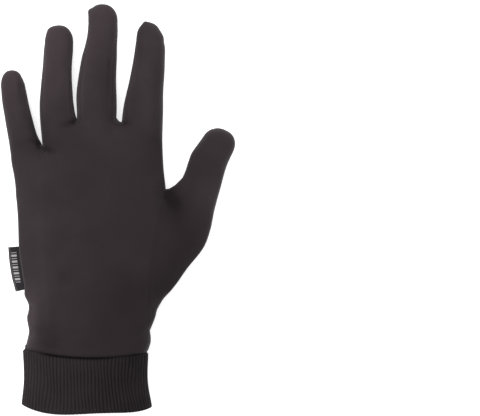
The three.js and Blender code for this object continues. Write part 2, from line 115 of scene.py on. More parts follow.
# The fingers, from the root to where the tip rounds off. The strip is half the angle, in degrees, of
# the fourchette at a side.
FINGER_COLUMNS = ("left_x", "left_y", "right_x", "right_y", "seam", "back", "strip")
LITTLE = RowTable(
    FINGER_COLUMNS,
    (
        (-66.7, 33.4, -48.3, 40.0, 8.8, 18.6, 36),
        (-68.6, 45.3, -51.2, 46.6, 8.2, 17.6, 34),
        (-70.4, 57.2, -54.5, 58.4, 7.6, 16.2, 30),
        (-72.3, 67.2, -56.9, 67.8, 7.2, 15.2, 20),
        (-73.1, 75.6, -58.9, 76.7, 7.0, 14.2, 0),
    ),
)
RING = RowTable(
    FINGER_COLUMNS,
    (
        (-46.9, 39.8, -26.8, 55.3, 9.4, 20.6, 38),
        (-48.4, 54.1, -27.9, 61.6, 9.0, 19.4, 37),
        (-48.9, 65.3, -28.9, 69.1, 8.6, 18.6, 36),
        (-47.7, 77.8, -29.4, 79.1, 8.2, 17.6, 33),
        (-46.6, 89.1, -29.3, 89.1, 8.0, 16.8, 29),
        (-46.0, 97.8, -28.9, 98.2, 7.8, 16.2, 18),
        (-45.5, 104.2, -28.7, 104.2, 7.6, 15.4, 0),
    ),
)
MIDDLE = RowTable(
    FINGER_COLUMNS,
    (
        (-25.0, 55.4, -1.6, 54.6, 9.8, 21.2, 40),
        (-25.6, 69.7, -1.4, 69.1, 9.2, 20.0, 38),
        (-24.6, 81.6, -1.3, 81.6, 8.8, 19.0, 36),
        (-22.6, 92.8, -1.4, 92.8, 8.4, 18.0, 33),
        (-20.4, 101.6, -1.4, 101.6, 8.1, 17.2, 29),
        (-19.1, 109.7, -0.9, 109.7, 7.9, 16.4, 18),
        (-18.6, 117.4, -0.9, 117.4, 7.7, 15.6, 0),
    ),
)
INDEX = RowTable(
    FINGER_COLUMNS,
    (
        (2.6, 54.2, 27.3, 51.6, 9.4, 20.8, 40),
        (3.7, 62.8, 27.5, 62.2, 9.0, 19.8, 38),
        (5.1, 70.3, 27.7, 70.3, 8.7, 19.0, 36),
        (7.6, 81.6, 28.2, 80.9, 8.3, 18.0, 33),
        (9.6, 91.6, 28.6, 90.9, 8.0, 17.0, 29),
        (10.8, 100.3, 29.0, 99.7, 7.8, 16.2, 18),
        (11.6, 106.0, 28.3, 104.2, 7.6, 15.4, 0),
    ),
)

# The thumb, from its seam on the hand to where the tip rounds off.
THUMB_COLUMNS = (
    "left_x", "left_y", "left_seam", "right_x", "right_y", "right_seam", "back", "bow", "hollow",
)
THUMB = RowTable(
    THUMB_COLUMNS,
    (
        (29.4, 11.6, 12.0, 19.6, -75.9, 15.0, 25.2, 2.8, 0.10),
        (32.2, 12.1, 11.8, 27.2, -57.0, 14.2, 23.8, 1.5, 0.32),
        (34.8, 13.7, 11.5, 33.0, -50.7, 13.6, 22.8, 0.9, 0.36),
        (37.5, 15.4, 11.2, 41.0, -39.9, 13.0, 22.0, 0.4, 0.34),
        (40.0, 18.2, 10.8, 52.4, -25.0, 11.6, 21.0, 0.0, 0.20),
        (42.4, 22.9, 10.4, 57.0, -13.6, 10.7, 20.5, 0.0, 0.08),
        (44.2, 28.1, 9.8, 59.6, -0.3, 9.9, 19.9, 0.0, 0.00),
        (46.4, 34.4, 9.2, 63.8, 13.3, 9.4, 19.4, 0.0, 0.00),
        (50.0, 39.8, 8.8, 67.1, 25.9, 8.8, 18.4, 0.0, 0.00),
        (53.3, 44.4, 8.4, 71.6, 35.4, 8.4, 17.4, 0.0, 0.00),
    ),
)

# The body of the hand in three stretches: below the thumb's seam, beside it and above it. Beside
# it the right end of a row lies on the thumb's first section.
HAND_COLUMNS = ("left_x", "left_y", "left_seam", "back", "sag", "splay")
RIGHT_COLUMNS = ("right_x", "right_y", "right_seam")
HAND = RowTable(
    HAND_COLUMNS,
    (
        (-57.4, -87.2, 17.2, 33.0, 4.0, 0.00),
        (-57.0, -85.7, 17.0, 34.0, 3.8, 0.00),
        (-55.9, -81.8, 16.4, 33.0, 3.0, 0.00),
        (-54.9, -76.6, 15.8, 31.8, 2.2, 0.00),
        (-55.6, -72.6, 15.4, 31.3, 1.7, 0.00),
        (-56.4, -67.6, 15.0, 30.8, 1.1, 0.00),
        (-55.4, -60.2, 14.4, 30.4, 0.5, 0.00),
        (-58.4, -46.0, 13.6, 29.9, 0.0, 0.00),
        (-60.9, -29.6, 12.8, 29.4, 0.0, 0.00),
        (-62.0, -15.0, 12.1, 28.9, 0.0, 0.00),
        (-62.3, -3.6, 11.5, 28.6, 0.0, 0.00),
        (-62.7, 3.4, 11.0, 28.3, 0.0, 0.00),
        (-63.2, 7.6, 10.7, 28.0, 0.0, 0.00),
        (-63.7, 14.2, 10.2, 27.4, 0.0, 0.16),
        (-64.8, 21.6, 9.7, 26.6, 0.0, 0.50),
        (-66.1, 28.2, 9.2, 25.8, 0.0, 0.84),
        (-66.7, 33.4, 8.8, 25.0, 0.0, 1.00),
    ),
)
# The rows of HAND between which the thumb is sewn in.
THUMB_SEAM_ROWS = (3, 12)
RIGHT_BELOW_THUMB = RowTable(
    RIGHT_COLUMNS,
    ((17.8, -89.1, 17.2), (18.7, -87.6, 17.0), (20.2, -82.2, 16.0), (19.6, -75.9, 15.0)),
)
RIGHT_ABOVE_THUMB = RowTable(
    RIGHT_COLUMNS,
    ((29.4, 11.6, 12.0), (28.6, 20.2, 11.2), (27.8, 30.0, 10.4), (27.2, 41.0, 9.8), (27.3, 51.6, 9.4)),
)

# The cuff at its top, its middle and just above its fold.
CUFF_COLUMNS = ("left_x", "left_y", "right_x", "right_y", "seam", "back", "sag", "skew", "corners")
CUFF = RowTable(
    CUFF_COLUMNS,
    (
        (-58.9, -87.8, 18.7, -89.7, 17.2, 33.8, 4.0, 0.00, 0.0),
        (-58.2, -106.0, 18.4, -107.2, 17.4, 34.4, 4.6, 0.20, 1.2),
        (-59.6, -121.2, 21.0, -122.9, 17.8, 35.4, 4.0, 0.75, 4.5),
    ),
)

# How much the palm side's hem sags for 1 mm of the back's.
PALM_SIDE_SAG = -0.3
# The share by which a hem drops more at its right corner, and less at its left one.
CORNER_LEAN = 0.65
# How deep the underside would hang below its seams if nothing cut it off flat, for 1 mm of their height.
UNDERSIDE_FULLNESS = 1.14
# The power of the cosine by which a tip narrows, and the number of slices in it.
TIP_BLUNTNESS = 0.86
TIP_SLICES = 14
# How far a web lies below the straight line between two fingers.
WEB_DIP_MIDDLE = 0.8
WEB_DIP_SEAMS = 2.6

# Creases and hollows of the cloth, each along a line seen from above. They are deepest and darkest at the
# line's first end: the tint is shade painted along the crease. A row without a depth is painted shade
# alone, on cloth that is not creased.
CREASE_COLUMNS = ("from_x", "from_y", "to_x", "to_y", "width", "depth", "tint")
CREASES = RowTable(
    CREASE_COLUMNS,
    (
        (-25.6, 54.4, -36.4, 51.0, 1.8, 0.9, 1.0),  # left of the web between ring and middle finger
        (-48.4, 38.4, -39.6, 35.0, 1.8, 0.9, 1.0),  # right of the web between little and ring finger
        (-49.0, 39.4, -55.4, 43.4, 1.6, 0.4, 0.8),  # left of it
        (1.0, 53.6, 9.6, 52.8, 1.6, 0.8, 0.9),  # right of the web between middle and index finger
        (32.2, 8.6, 39.4, -0.6, 5.2, 2.2, 1.0),  # hollow behind the thumb's web
        (35.0, 2.0, 37.0, -12.0, 5.8, 1.5, 0.6),  # the hollow's tail along the thumb's seam
        (42.0, -8.0, 40.0, -30.0, 12.0, 0.5, 0.3),  # the slack root of the thumb
        (30.0, -50.0, 38.0, -18.0, 13.0, 0.0, 0.55),  # the root of the thumb, in shade
        (46.0, -22.0, 34.0, -40.0, 10.0, 0.0, 0.3),
        (10.0, -50.0, -44.0, -46.0, 14.0, 0.0, 0.25),  # painted shade on the lower back of the hand
        (-46.0, 39.0, -14.0, 39.0, 8.0, 0.0, 0.6),  # painted shade on the little and ring knuckles
        (16.0, -80.0, -30.0, -84.0, 16.0, 0.0, 0.5),  # painted shade at the wrist
        (-46.0, -84.0, -10.0, -84.0, 14.0, 0.0, 0.3),
        (-34.0, -44.0, -41.0, -66.0, 7.5, 0.0, 0.4),  # painted shade beside the outer side, whose light is painted paler
        (-41.0, -83.0, -35.0, -70.0, 6.0, 0.0, 0.35),
        (-2.0, -62.0, -16.0, -80.0, 11.0, 0.0, 0.3),  # painted shade above the cuff, on the thumb side
        (4.0, -40.0, 8.0, -64.0, 8.0, 0.0, 0.2),
        (14.9, 116.0, 15.4, 110.0, 0.8, 0.3, 0.8),  # seam's end at the tip of the index finger
        (-5.5, 92.0, -5.5, 68.5, 1.0, 0.2, 0.6),  # seam line along the middle finger
        (-61.9, 78.0, -60.6, 64.0, 1.0, 0.2, 0.5),  # crease along the little finger
        (-59.0, -61.2, -45.0, -64.2, 2.6, 1.6, 0.0),  # folds above the cuff, on the outer side
        (-58.6, -76.0, -43.0, -79.0, 2.6, 1.5, 0.1),
        (-58.0, -69.0, -49.0, -70.4, 1.8, 0.4, 0.0),
        (22.0, -76.2, 10.8, -78.6, 2.2, 0.9, 0.1),  # folds above the cuff, on the thumb side
        (21.0, -64.5, 13.0, -67.0, 2.0, 0.5, 0.0),
    ),
)

# Small tucks and bulges: a place, where the cloth there is pushed, the share by which the cloth
# round it is drawn towards it, and how widely.
TUCK_COLUMNS = ("x", "y", "push_x", "push_y", "draw", "width")
TUCKS = RowTable(
    TUCK_COLUMNS,
    (
        (-18.6, 123.2, -1.3, 1.5, 0.0, 2.2),  # tip of the middle finger
        (-43.4, 112.6, -0.8, 0.4, 0.0, 3.2),  # shoulder of the ring finger
        (16.4, 116.4, -0.2, 0.6, 0.2, 2.4),  # tip of the index finger
        (-59.4, 81.4, -0.8, 0.0, 0.0, 3.0),  # shoulder of the little finger
        (14.6, 114.8, 0.6, -0.2, 0.0, 3.0),  # shoulder of the index finger
        (26.2, 110.8, -0.75, -0.2, 0.0, 3.6),
        (29.4, -54.6, 0.7, 0.0, 0.0, 3.0),  # heel of the thumb
        (-57.4, -54.4, -1.5, 0.0, 0.0, 3.6),  # bulge under the label
        (23.2, -62.6, -0.9, 0.0, 0.0, 3.6),  # dip above the cuff, on the thumb side
        (-1.4, 54.6, 0.0, 2.2, 0.0, 1.7),  # web between middle and index finger
        (-25.9, 56.0, 0.0, 0.0, 0.45, 3.2),  # web between ring and middle finger
        (-47.6, 41.2, 0.0, 0.0, 0.3, 3.4),  # web between little and ring finger
    ),
)


class Side(Enum):
    """The two faces of a hand."""

    BACK = "back"
    PALM = "palm"


class Edge(Enum):
    """The two edges of a finger, as they lie in the picture."""

    LEFT = "left"
    RIGHT = "right"


class Panel(Enum):
    """The panels of the skin, by the nodes that they replace."""

    BACK = "back_panel"
    PALM = "palm_panel"
    LITTLE_RING = "fourchette_little_ring"
    RING_MIDDLE = "fourchette_ring_middle"
    MIDDLE_INDEX = "fourchette_middle_index"
    THUMB = "thumb_panel"


FOURCHETTES = (Panel.LITTLE_RING, Panel.RING_MIDDLE, Panel.MIDDLE_INDEX)


# ---- Sections ----


def height_share(across: Array, squareness: float) -> Array:
    """How high a superellipse stands at a place across it: 0 at its ends and 1 in its middle."""
    return (1 - np.minimum(1, np.abs(across)) ** squareness) ** (1 / squareness)


@dataclass
class Sections:
    """Vertical slices of a hollow form, one for each row of a grid.

    A slice runs between two points of the outline. Over the line between them stands half a
    superellipse up to the height of the back. Under it hangs half a deeper one, cut off flat where
    it would go below the surface that the glove lies on.

    Seen from above, the middle of a slice bows to the left and sags towards the wrist. Skew shifts
    the sag to the left, and corners adds one halfway to each end, larger at the right. Hollow is
    the share of the height that is missing at the left end, and scale a share that all of it keeps.
    """

    left: Array
    right: Array
    back: Array
    squareness: Mapping[Side, float]
    bow: Array | float = 0.0
    hollow: Array | float = 0.0
    sag: Array | float = 0.0
    skew: Array | float = 0.0
    corners: Array | float = 0.0
    scale: Array | float = 1.0

    def _column(self, value: Array | float) -> Array:
        """A value for each slice as a column that spreads over the places across it."""
        return np.broadcast_to(np.asarray(value, float), len(self.left))[:, None]

    def across(self, across: Array, side: Side) -> Array:
        """Points at places across each slice.

        Args:
            across: Slices by places, from -1 at the left end to 1 at the right end.
            side: The face of the hand that the points are on.

        Returns:
            Slices by places by three coordinates.
        """
        across = np.broadcast_to(across, (len(self.left), across.shape[-1]))
        share = (1 + across[..., None]) / 2
        points = self.left[:, None] * (1 - share) + self.right[:, None] * share
        arch = 1 - across**2
        height = self._column(self.scale) * height_share(across, self.squareness[side])
        drop = self._column(self.sag) * arch * (1 - self._column(self.skew) * across)
        drop = drop + self._column(self.corners) * arch * across**2 * (1 + CORNER_LEAN * across)
        points[..., 0] -= self._column(self.bow) * arch
        points[..., 1] -= drop * (1 if side is Side.BACK else PALM_SIDE_SAG)
        seam = points[..., 2]
        if side is Side.BACK:
            loss = self._column(self.hollow) * ((1 - across) / 2) ** 2
            points[..., 2] = seam + (self._column(self.back) - seam) * height * (1 - loss)
        else:
            points[..., 2] = np.maximum(0, seam - UNDERSIDE_FULLNESS * seam * height)
        return points

    def around(self, angle: Array, side: Side) -> Array:
        """Points at angles round each slice: 0 is the right end and half a turn the left end.

        Args:
            angle: Slices by places, in radians from the right end, over either face.
            side: The face of the hand that the points are on.

        Returns:
            Slices by places by three coordinates.
        """
        cosine = np.cos(angle)
        power = 2 / self.squareness[side]
        return self.across(np.sign(cosine) * np.abs(cosine) ** power, side)

    def first(self, count: int) -> Sections:
        """The first of the slices alone.

        Args:
            count: How many of them.

        Returns:
            The slices.
        """
        values = {item.name: getattr(self, item.name) for item in fields(self)}
        cut = {name: v[:count] if isinstance(v, Array) else v for name, v in values.items()}
        return Sections(**cut)


def with_tip(body: Sections, length: float, lean: float) -> Sections:
    """Adds the slices that round a finger off to its point.

    Each added slice is the last one moved forward by the length times the sine of its turn, and
    narrowed by the cosine of its turn to a power that makes the tip blunt. It is moved sideways by
    the lean times the square of that sine.

    Args:
        body: The slices up to where the tip starts.
        length: How far the tip reaches beyond the last of them.
        lean: How far to the right its point lies.

    Returns:
        All slices, from root to point.
    """
    turns = np.linspace(0, math.pi / 2, TIP_SLICES + 1)[1:]
    left, right = body.left[-1], body.right[-1]
    along = right - left
    forward = np.array([-along[1], along[0], 0.0]) / np.hypot(along[0], along[1])
    centre = (left + right) / 2
    width = np.maximum(np.cos(turns), 0) ** TIP_BLUNTNESS
    width[-1] = 0
    sideways = along / np.linalg.norm(along) * (lean * np.sin(turns) ** 2)[:, None]
    place = centre + forward * (length * np.sin(turns))[:, None] + sideways
    count = len(body.left)
    spread = [np.broadcast_to(np.asarray(v, float), count) for v in (body.back, body.bow, body.hollow)]
    back, bow, hollow = (np.append(v, np.full(len(turns), v[-1])) for v in spread)
    return Sections(
        left=np.concatenate([body.left, place + (left - centre) * width[:, None]]),
        right=np.concatenate([body.right, place + (right - centre) * width[:, None]]),
        back=back,
        squareness=body.squareness,
        bow=bow,
        hollow=hollow,
        scale=np.append(np.ones(count), width),
    )


# The powers of the superellipses. A power of 2 would be an ellipse.
FINGER_SQUARENESS = {Side.BACK: 2.45, Side.PALM: 2.6}
HAND_SQUARENESS = {Side.BACK: 2.5, Side.PALM: 2.8}


@dataclass
class Finger:
    """One finger: its slices and the angles at which its fourchettes end."""

    table: RowTable
    tip: float
    outer_edge: Edge | None = None
    lean: float = 0.0
    steps_per_row: int = 9
    arc_steps: int = 26
    strip_steps: int = 12
    sections: Sections = field(init=False)
    strips: Array = field(init=False)

    def __post_init__(self) -> None:
        """Reads the table and rounds the tip off."""
        place = np.linspace(0, self.table.last, self.table.last * self.steps_per_row + 1)
        row = self.table.read(place)
        body = Sections(
            left=points_of(row, "left_x", "left_y", "seam"),
            right=points_of(row, "right_x", "right_y", "seam"),
            back=row["back"],
            squareness=FINGER_SQUARENESS,
        )
        self.sections = with_tip(body, self.tip, self.lean)
        self.strips = np.radians(np.maximum(0, self.table.read(place, smooth=False)["strip"]))

    def strip(self, edge: Edge) -> Array:
        """Half the angle of the fourchette at an edge, for each slice: 0 where there is none.

        Args:
            edge: The edge of the finger.

        Returns:
            Angles in radians.
        """
        angles = np.zeros(len(self.sections.left))
        if edge is not self.outer_edge:
            angles[: len(self.strips)] = self.strips
        return angles

    def arcs(self, side: Side) -> Array:
        """The points over the back, or under the front, of each slice, from left to right.

        Args:
            side: The face of the hand.

        Returns:
            Slices by places by three coordinates.
        """
        share = np.linspace(0, 1, self.arc_steps + 1)
        left = (math.pi - self.strip(Edge.LEFT))[:, None]
        right = self.strip(Edge.RIGHT)[:, None]
        return self.sections.around(left + (right - left) * share, side)

    def strip_grid(self, edge: Edge) -> Array:
        """The points of the fourchette at an edge: slices by places from the palm to the back seam.

        Args:
            edge: The edge of the finger.

        Returns:
            Slices by places by three coordinates.
        """
        half = self.strip(edge)[: len(self.strips), None]
        turn = half * np.linspace(-1, 1, self.strip_steps + 1)
        angle = turn if edge is Edge.RIGHT else math.pi - turn
        body = self.sections.first(len(self.strips))
        over, under = body.around(angle, Side.BACK), body.around(angle, Side.PALM)
        return np.where(turn[..., None] >= 0, over, under)


def web_rows(from_strip: Array, to_strip: Array, steps: int) -> Array:
    """The rows in which a fourchette turns round the bottom of the gap between two fingers.

    The turn is half an ellipse seen from above, deeper at the seams than in the middle of the strip.

    Args:
        from_strip: The strip's row at the root of one finger.
        to_strip: The strip's row at the root of the next one.
        steps: The number of rows between them.

    Returns:
        Rows by places by three coordinates.
    """
    share = (np.arange(steps) + 1) / (steps + 1)
    across = (1 - np.cos(math.pi * share)) / 2
    rows = from_strip + (to_strip - from_strip) * across[:, None, None]
    towards_seam = np.linspace(-1, 1, from_strip.shape[0])
    dip = WEB_DIP_MIDDLE + (WEB_DIP_SEAMS - WEB_DIP_MIDDLE) * towards_seam**2
    rows[..., 1] -= dip * np.sin(math.pi * share)[:, None]
    return rows


# ---- The sewn skin ----


@dataclass
class Patch:
    """A grid of points on one panel, with the flat cloth's own coordinates at each of them."""

    panel: Panel
    points: Array
    cloth: Array
    turned_over: bool = False


def lengths_along(points: Array, axis: int) -> Array:
    """The distance run along the grid lines of one direction, from the first point of each.

    Args:
        points: Rows by columns by three coordinates.
        axis: 0 for columns and 1 for rows.

    Returns:
        Rows by columns.
    """
    steps = np.linalg.norm(np.diff(points, axis=axis), axis=-1)
    start = np.zeros_like(np.take(steps, [0], axis=axis))
    return np.concatenate([start, np.cumsum(steps, axis=axis)], axis=axis)


def cloth_of(points: Array, start: Array | None = None) -> Array:
    """Where each point of a grid lay in the flat cloth.

    Across, it is the distance run along the row from its middle column. Along, it is the distance
    run up the column from the first row.

    Args:
        points: Rows by columns by three coordinates.
        start: The cloth's coordinates along the first row, where another patch has given them.

    Returns:
        Rows by columns by two lengths.
    """
    across, along = lengths_along(points, 1), lengths_along(points, 0)
    middle = points.shape[1] // 2
    across = across - across[:, middle : middle + 1]
    if start is not None:
        across = across + start[middle, 0]
        along = along + start[None, :, 1]
    return np.stack([across, along], -1)


class Skin:
    """The outer face of the whole hand, its patches welded along every seam."""

    weld_steps_per_mm: float = 1e4
    shortest_edge: float = 0.02
    least_upward: float = 0.3

    def __init__(self, patches: Sequence[Patch]) -> None:
        """Welds the patches.

        Args:
            patches: The grids of every panel, with equal points where they meet.
        """
        stacked = np.concatenate([patch.points.reshape(-1, 3) for patch in patches])
        keys = np.round(stacked * self.weld_steps_per_mm).astype(np.int64)
        _, first, number = np.unique(keys, axis=0, return_index=True, return_inverse=True)
        number = number.reshape(-1)
        self.points: Array = stacked[first]
        self.panels: dict[Panel, list[tuple[Array, Array]]] = {}
        start = 0
        for patch in patches:
            rows, columns = patch.points.shape[:2]
            corners = open_faces(rows, columns)
            if patch.turned_over:
                corners = corners[:, ::-1]
            cloth = patch.cloth.reshape(-1, 2)[corners]
            self.panels.setdefault(patch.panel, []).append((number[start + corners], cloth))
            start += rows * columns
        everything = np.concatenate([faces for parts in self.panels.values() for faces, _ in parts])
        self.faces: Array = everything
        self.edges: Array = unique_edges(everything)
        self.hem: Array = rim_of(everything)

    def relax(self, rounds: int, strength: float = 0.5, swell: float = -0.53) -> None:
        """Evens the skin out without making it smaller, and keeps the hem where it is.

        In each round every point moves towards the mean of its neighbours by one share of the way,
        and then away from it by a slightly larger one.

        Args:
            rounds: How many times.
            strength: The first share.
            swell: The second share, which is negative.
        """
        fixed = np.unique(self.hem)
        pull = self._pull()
        for share in (strength, swell) * rounds:
            mean = spread_sum(self.edges, self.points, pull)
            moved = self.points + (mean - self.points) * share
            moved[fixed] = self.points[fixed]
            moved[:, 2] = np.maximum(0, moved[:, 2])
            self.points = moved

    def ease(self, rounds: int, weight: Array) -> None:
        """Evens the heights out by weights, and leaves the outline as it is.

        A height changes by the distance from the surface to the mean of the point's neighbours,
        measured straight out of the surface, so that an even slope stays as it is.

        Args:
            rounds: How many times.
            weight: The share of the way for each point.
        """
        pull = self._pull()
        for _ in range(rounds):
            offset = spread_sum(self.edges, self.points, pull) - self.points
            normals = self.normals()
            rise = np.sum(offset * normals, axis=1) / np.maximum(normals[:, 2], self.least_upward)
            self.points[:, 2] += rise * weight

    def _pull(self) -> Array:
        """What each end of each edge weighs for the other end: nearer neighbours weigh more.

        Returns:
            Two weights for each edge, which come to 1 for all the neighbours of a point.
        """
        ends = self.points[self.edges]
        length = np.linalg.norm(ends[:, 0] - ends[:, 1], axis=1)
        near = 1 / np.maximum(length, self.shortest_edge)
        total = np.zeros(len(self.points))
        for end in (0, 1):
            total += np.bincount(self.edges[:, end], near, len(self.points))
        return near[:, None] / total[self.edges]

    def normals(self) -> Array:
        """The outward direction at each point, weighted by the faces round it."""
        return face_normals(self.points, self.faces)


def open_faces(rows: int, columns: int) -> Array:
    """The faces of a grid with four open edges, by the numbers of their corners."""
    grid = np.arange(rows * columns).reshape(rows, columns)
    return np.stack([grid[:-1, :-1], grid[:-1, 1:], grid[1:, 1:], grid[1:, :-1]], -1).reshape(-1, 4)


def edges_of(faces: Array) -> Array:
    """The edges of every four-cornered face in its direction, without those that have no length."""
    edges = np.concatenate([faces[:, [k, (k + 1) % 4]] for k in range(4)])
    return edges[edges[:, 0] != edges[:, 1]]


def unique_edges(faces: Array) -> Array:
    """Each edge of some four-cornered faces once, from its lower number to its higher one."""
    return np.unique(np.sort(edges_of(faces), axis=1), axis=0)


def rim_of(faces: Array) -> Array:
    """The edges that only one face has, each in that face's direction.

    Args:
        faces: The four corners of each face.

    Returns:
        The two ends of each edge.
    """
    edges = edges_of(faces)
    _, number, count = np.unique(np.sort(edges, axis=1), axis=0, return_inverse=True, return_counts=True)
    return edges[count[number.reshape(-1)] == 1]


def spread_sum(edges: Array, values: Array, weights: Array | None = None) -> Array:
    """For each point, the sum of its neighbours' values.

    Args:
        edges: The pairs of neighbours.
        values: Points by numbers.
        weights: What a neighbour's value weighs for each end of each edge, if not 1.

    Returns:
        Points by sums.
    """
    total = np.zeros_like(values)
    for k in range(values.shape[1]):
        for a, b in ((0, 1), (1, 0)):
            value = values[edges[:, b], k]
            value = value if weights is None else value * weights[:, a]
            total[:, k] += np.bincount(edges[:, a], value, len(values))
    return total


def face_normals(points: Array, faces: Array) -> Array:
    """Unit directions at points: the sum of the cross products of their faces' diagonals.

    Args:
        points: All points.
        faces: The four corners of each face.

    Returns:
        Points by three coordinates.
    """
    diagonal = points[faces[:, 2]] - points[faces[:, 0]], points[faces[:, 3]] - points[faces[:, 1]]
    normal = np.cross(*diagonal)
    total = np.zeros_like(points)
    for corner in range(4):
        for k in range(3):
            total[:, k] += np.bincount(faces[:, corner], normal[:, k], len(points))
    return total / np.maximum(np.linalg.norm(total, axis=1, keepdims=True), 1e-12)


def smooth_step(low: float, high: float, value: Array) -> Array:
    """0 below the low value, 1 above the high one, and a smooth rise between them."""
    share = np.clip((value - low) / (high - low), 0, 1)
    return share * share * (3 - 2 * share)


# Gentle sines over the whole hand, in radians for a millimetre each way.
WAVE_COLUMNS = ("across", "along", "phase")
WAVES = RowTable(
    WAVE_COLUMNS,
    ((0.11, 0.05, 1.3), (-0.06, 0.13, 0.4), (0.19, -0.12, 2.2), (0.05, 0.24, 4.1), (0.27, 0.16, 5.0)),
)


@dataclass(frozen=True)
class Relief:
    """The creases, tucks, puckers and soft waves of the cloth.

    A field whose name ends in facing holds the two heights of the outward direction, from -1 at the
    bottom to 1 at the top, between which that relief sets in.
    """

    creases: RowTable = CREASES
    tucks: RowTable = TUCKS
    waves: RowTable = WAVES
    crease_facing: tuple[float, float] = (0.2, 0.6)
    crease_fade: float = 0.8
    shoulder: float = 0.35
    shoulder_place: float = 2.1
    shoulder_narrowness: float = 1.4
    tuck_heights: tuple[float, float] = (2.0, 5.0)
    wave_facing: tuple[float, float] = (-0.9, -0.4)
    wave_height: float = 0.22
    wave_start: float = 10.0
    pucker_facing: tuple[float, float] = (-0.9, -0.5)
    pucker_height: float = 0.1
    pucker_reach: float = 5.0
    pucker_start: float = 2.5
    hem_y: float = -89.0
    hem_sag: float = 4.4
    hem_middle: float = -20.0
    hem_half: float = 39.0

    def apply(self, points: Array, normals: Array) -> Array:
        """Moves points of the skin.

        A crease is a Gaussian valley round its line, with a lower rounded shoulder on each side,
        on the back of the hand alone. A tuck pushes the points near it sideways. The waves are
        sines of fixed lengths and directions. The puckers are short waves beside the cuff.

        Args:
            points: Points of the skin.
            normals: Their outward directions.

        Returns:
            The moved points.
        """
        up = normals[:, 2]
        lift = self._creased(points, up)
        lift += self._waves(points) * smooth_step(*self.wave_facing, up)
        lift += self._puckers(points) * smooth_step(*self.pucker_facing, up)
        moved = points + normals * lift[:, None]
        off_floor = smooth_step(*self.tuck_heights, points[:, 2])
        for x, y, push_x, push_y, draw, width in self.tucks.rows:
            off = points[:, :2] - (x, y)
            share = np.exp(-np.sum(off**2, axis=1) / width**2) * off_floor
            moved[:, :2] += ((push_x, push_y) - draw * off) * share[:, None]
        moved[:, 2] = np.maximum(0, moved[:, 2])
        return moved

    def _creased(self, points: Array, up: Array) -> Array:
        """The height that the creases add on the back of the hand, below 0 in the creases.

        Args:
            points: Points of the skin.
            up: The heights of their outward directions.

        Returns:
            A height for each point.
        """
        lift = np.zeros(len(points))
        for *line, width, depth, _ in self.creases.rows:
            away, fade = self._from_line(points, line, width)
            shoulder = np.exp(-((away - self.shoulder_place) ** 2) * self.shoulder_narrowness)
            lift -= depth * fade * (np.exp(-(away**2)) - self.shoulder * shoulder)
        return lift * smooth_step(*self.crease_facing, up)

    def painted_crease_shade(self, points: Array, normals: Array) -> Array:
        """How much shade the creases paint onto the cloth on the back of the hand.

        Args:
            points: Points of the skin.
            normals: Their outward directions.

        Returns:
            A share from 0 to 1 for each point.
        """
        total = np.zeros(len(points))
        for *line, width, _, tint in self.creases.rows:
            away, fade = self._from_line(points, line, width)
            total += tint * fade * np.exp(-(away**2))
        return np.clip(total, 0, 1) * smooth_step(*self.crease_facing, normals[:, 2])

    def _from_line(self, points: Array, line: Sequence[float], width: float) -> tuple[Array, Array]:
        """How far points are from a crease's line, in its widths, and how it fades along its line.

        Args:
            points: Points of the skin.
            line: The two ends of the line, seen from above.
            width: The crease's width.

        Returns:
            A distance and a share for each point.
        """
        start, end = np.array(line[0:2]), np.array(line[2:4])
        way = end - start
        along = np.clip((points[:, :2] - start) @ way / (way @ way), 0, 1)
        nearest = start + along[:, None] * way
        away = np.linalg.norm(points[:, :2] - nearest, axis=1) / width
        return away, 1 - self.crease_fade * along

    def _waves(self, points: Array) -> Array:
        """A gentle unevenness over the whole hand, which sets in above the hem.

        Args:
            points: Points of the skin.

        Returns:
            A height for each point.
        """
        x, y = points[:, 0], points[:, 1]
        total = np.zeros(len(points))
        for across, along, phase in self.waves.rows:
            total += np.sin(across * x + along * y + phase)
        height = self.wave_height * total / (len(self.waves.rows) / 2)
        return height * smooth_step(self.hem_y, self.hem_y + self.wave_start, y)

    def _puckers(self, points: Array) -> Array:
        """Short waves where the cloth is gathered into the cuff.

        They are two sines across the hand, the first of which swells and fades, and they die down
        by a Gaussian of the distance from the hem. The hem hangs in a parabola.

        Args:
            points: Points of the skin.

        Returns:
            A height for each point.
        """
        x, y = points[:, 0], points[:, 1]
        hang = self.hem_sag * np.maximum(0, 1 - ((x - self.hem_middle) / self.hem_half) ** 2)
        off_hem = np.maximum(0, y - self.hem_y + hang)
        wave = np.sin(1.13 * x + 0.4) * np.sin(0.23 * x) + 0.8 * np.sin(0.71 * x + 2.0)
        near = np.exp(-((off_hem / self.pucker_reach) ** 2))
        return self.pucker_height * wave * near * smooth_step(0.0, self.pucker_start, off_hem)


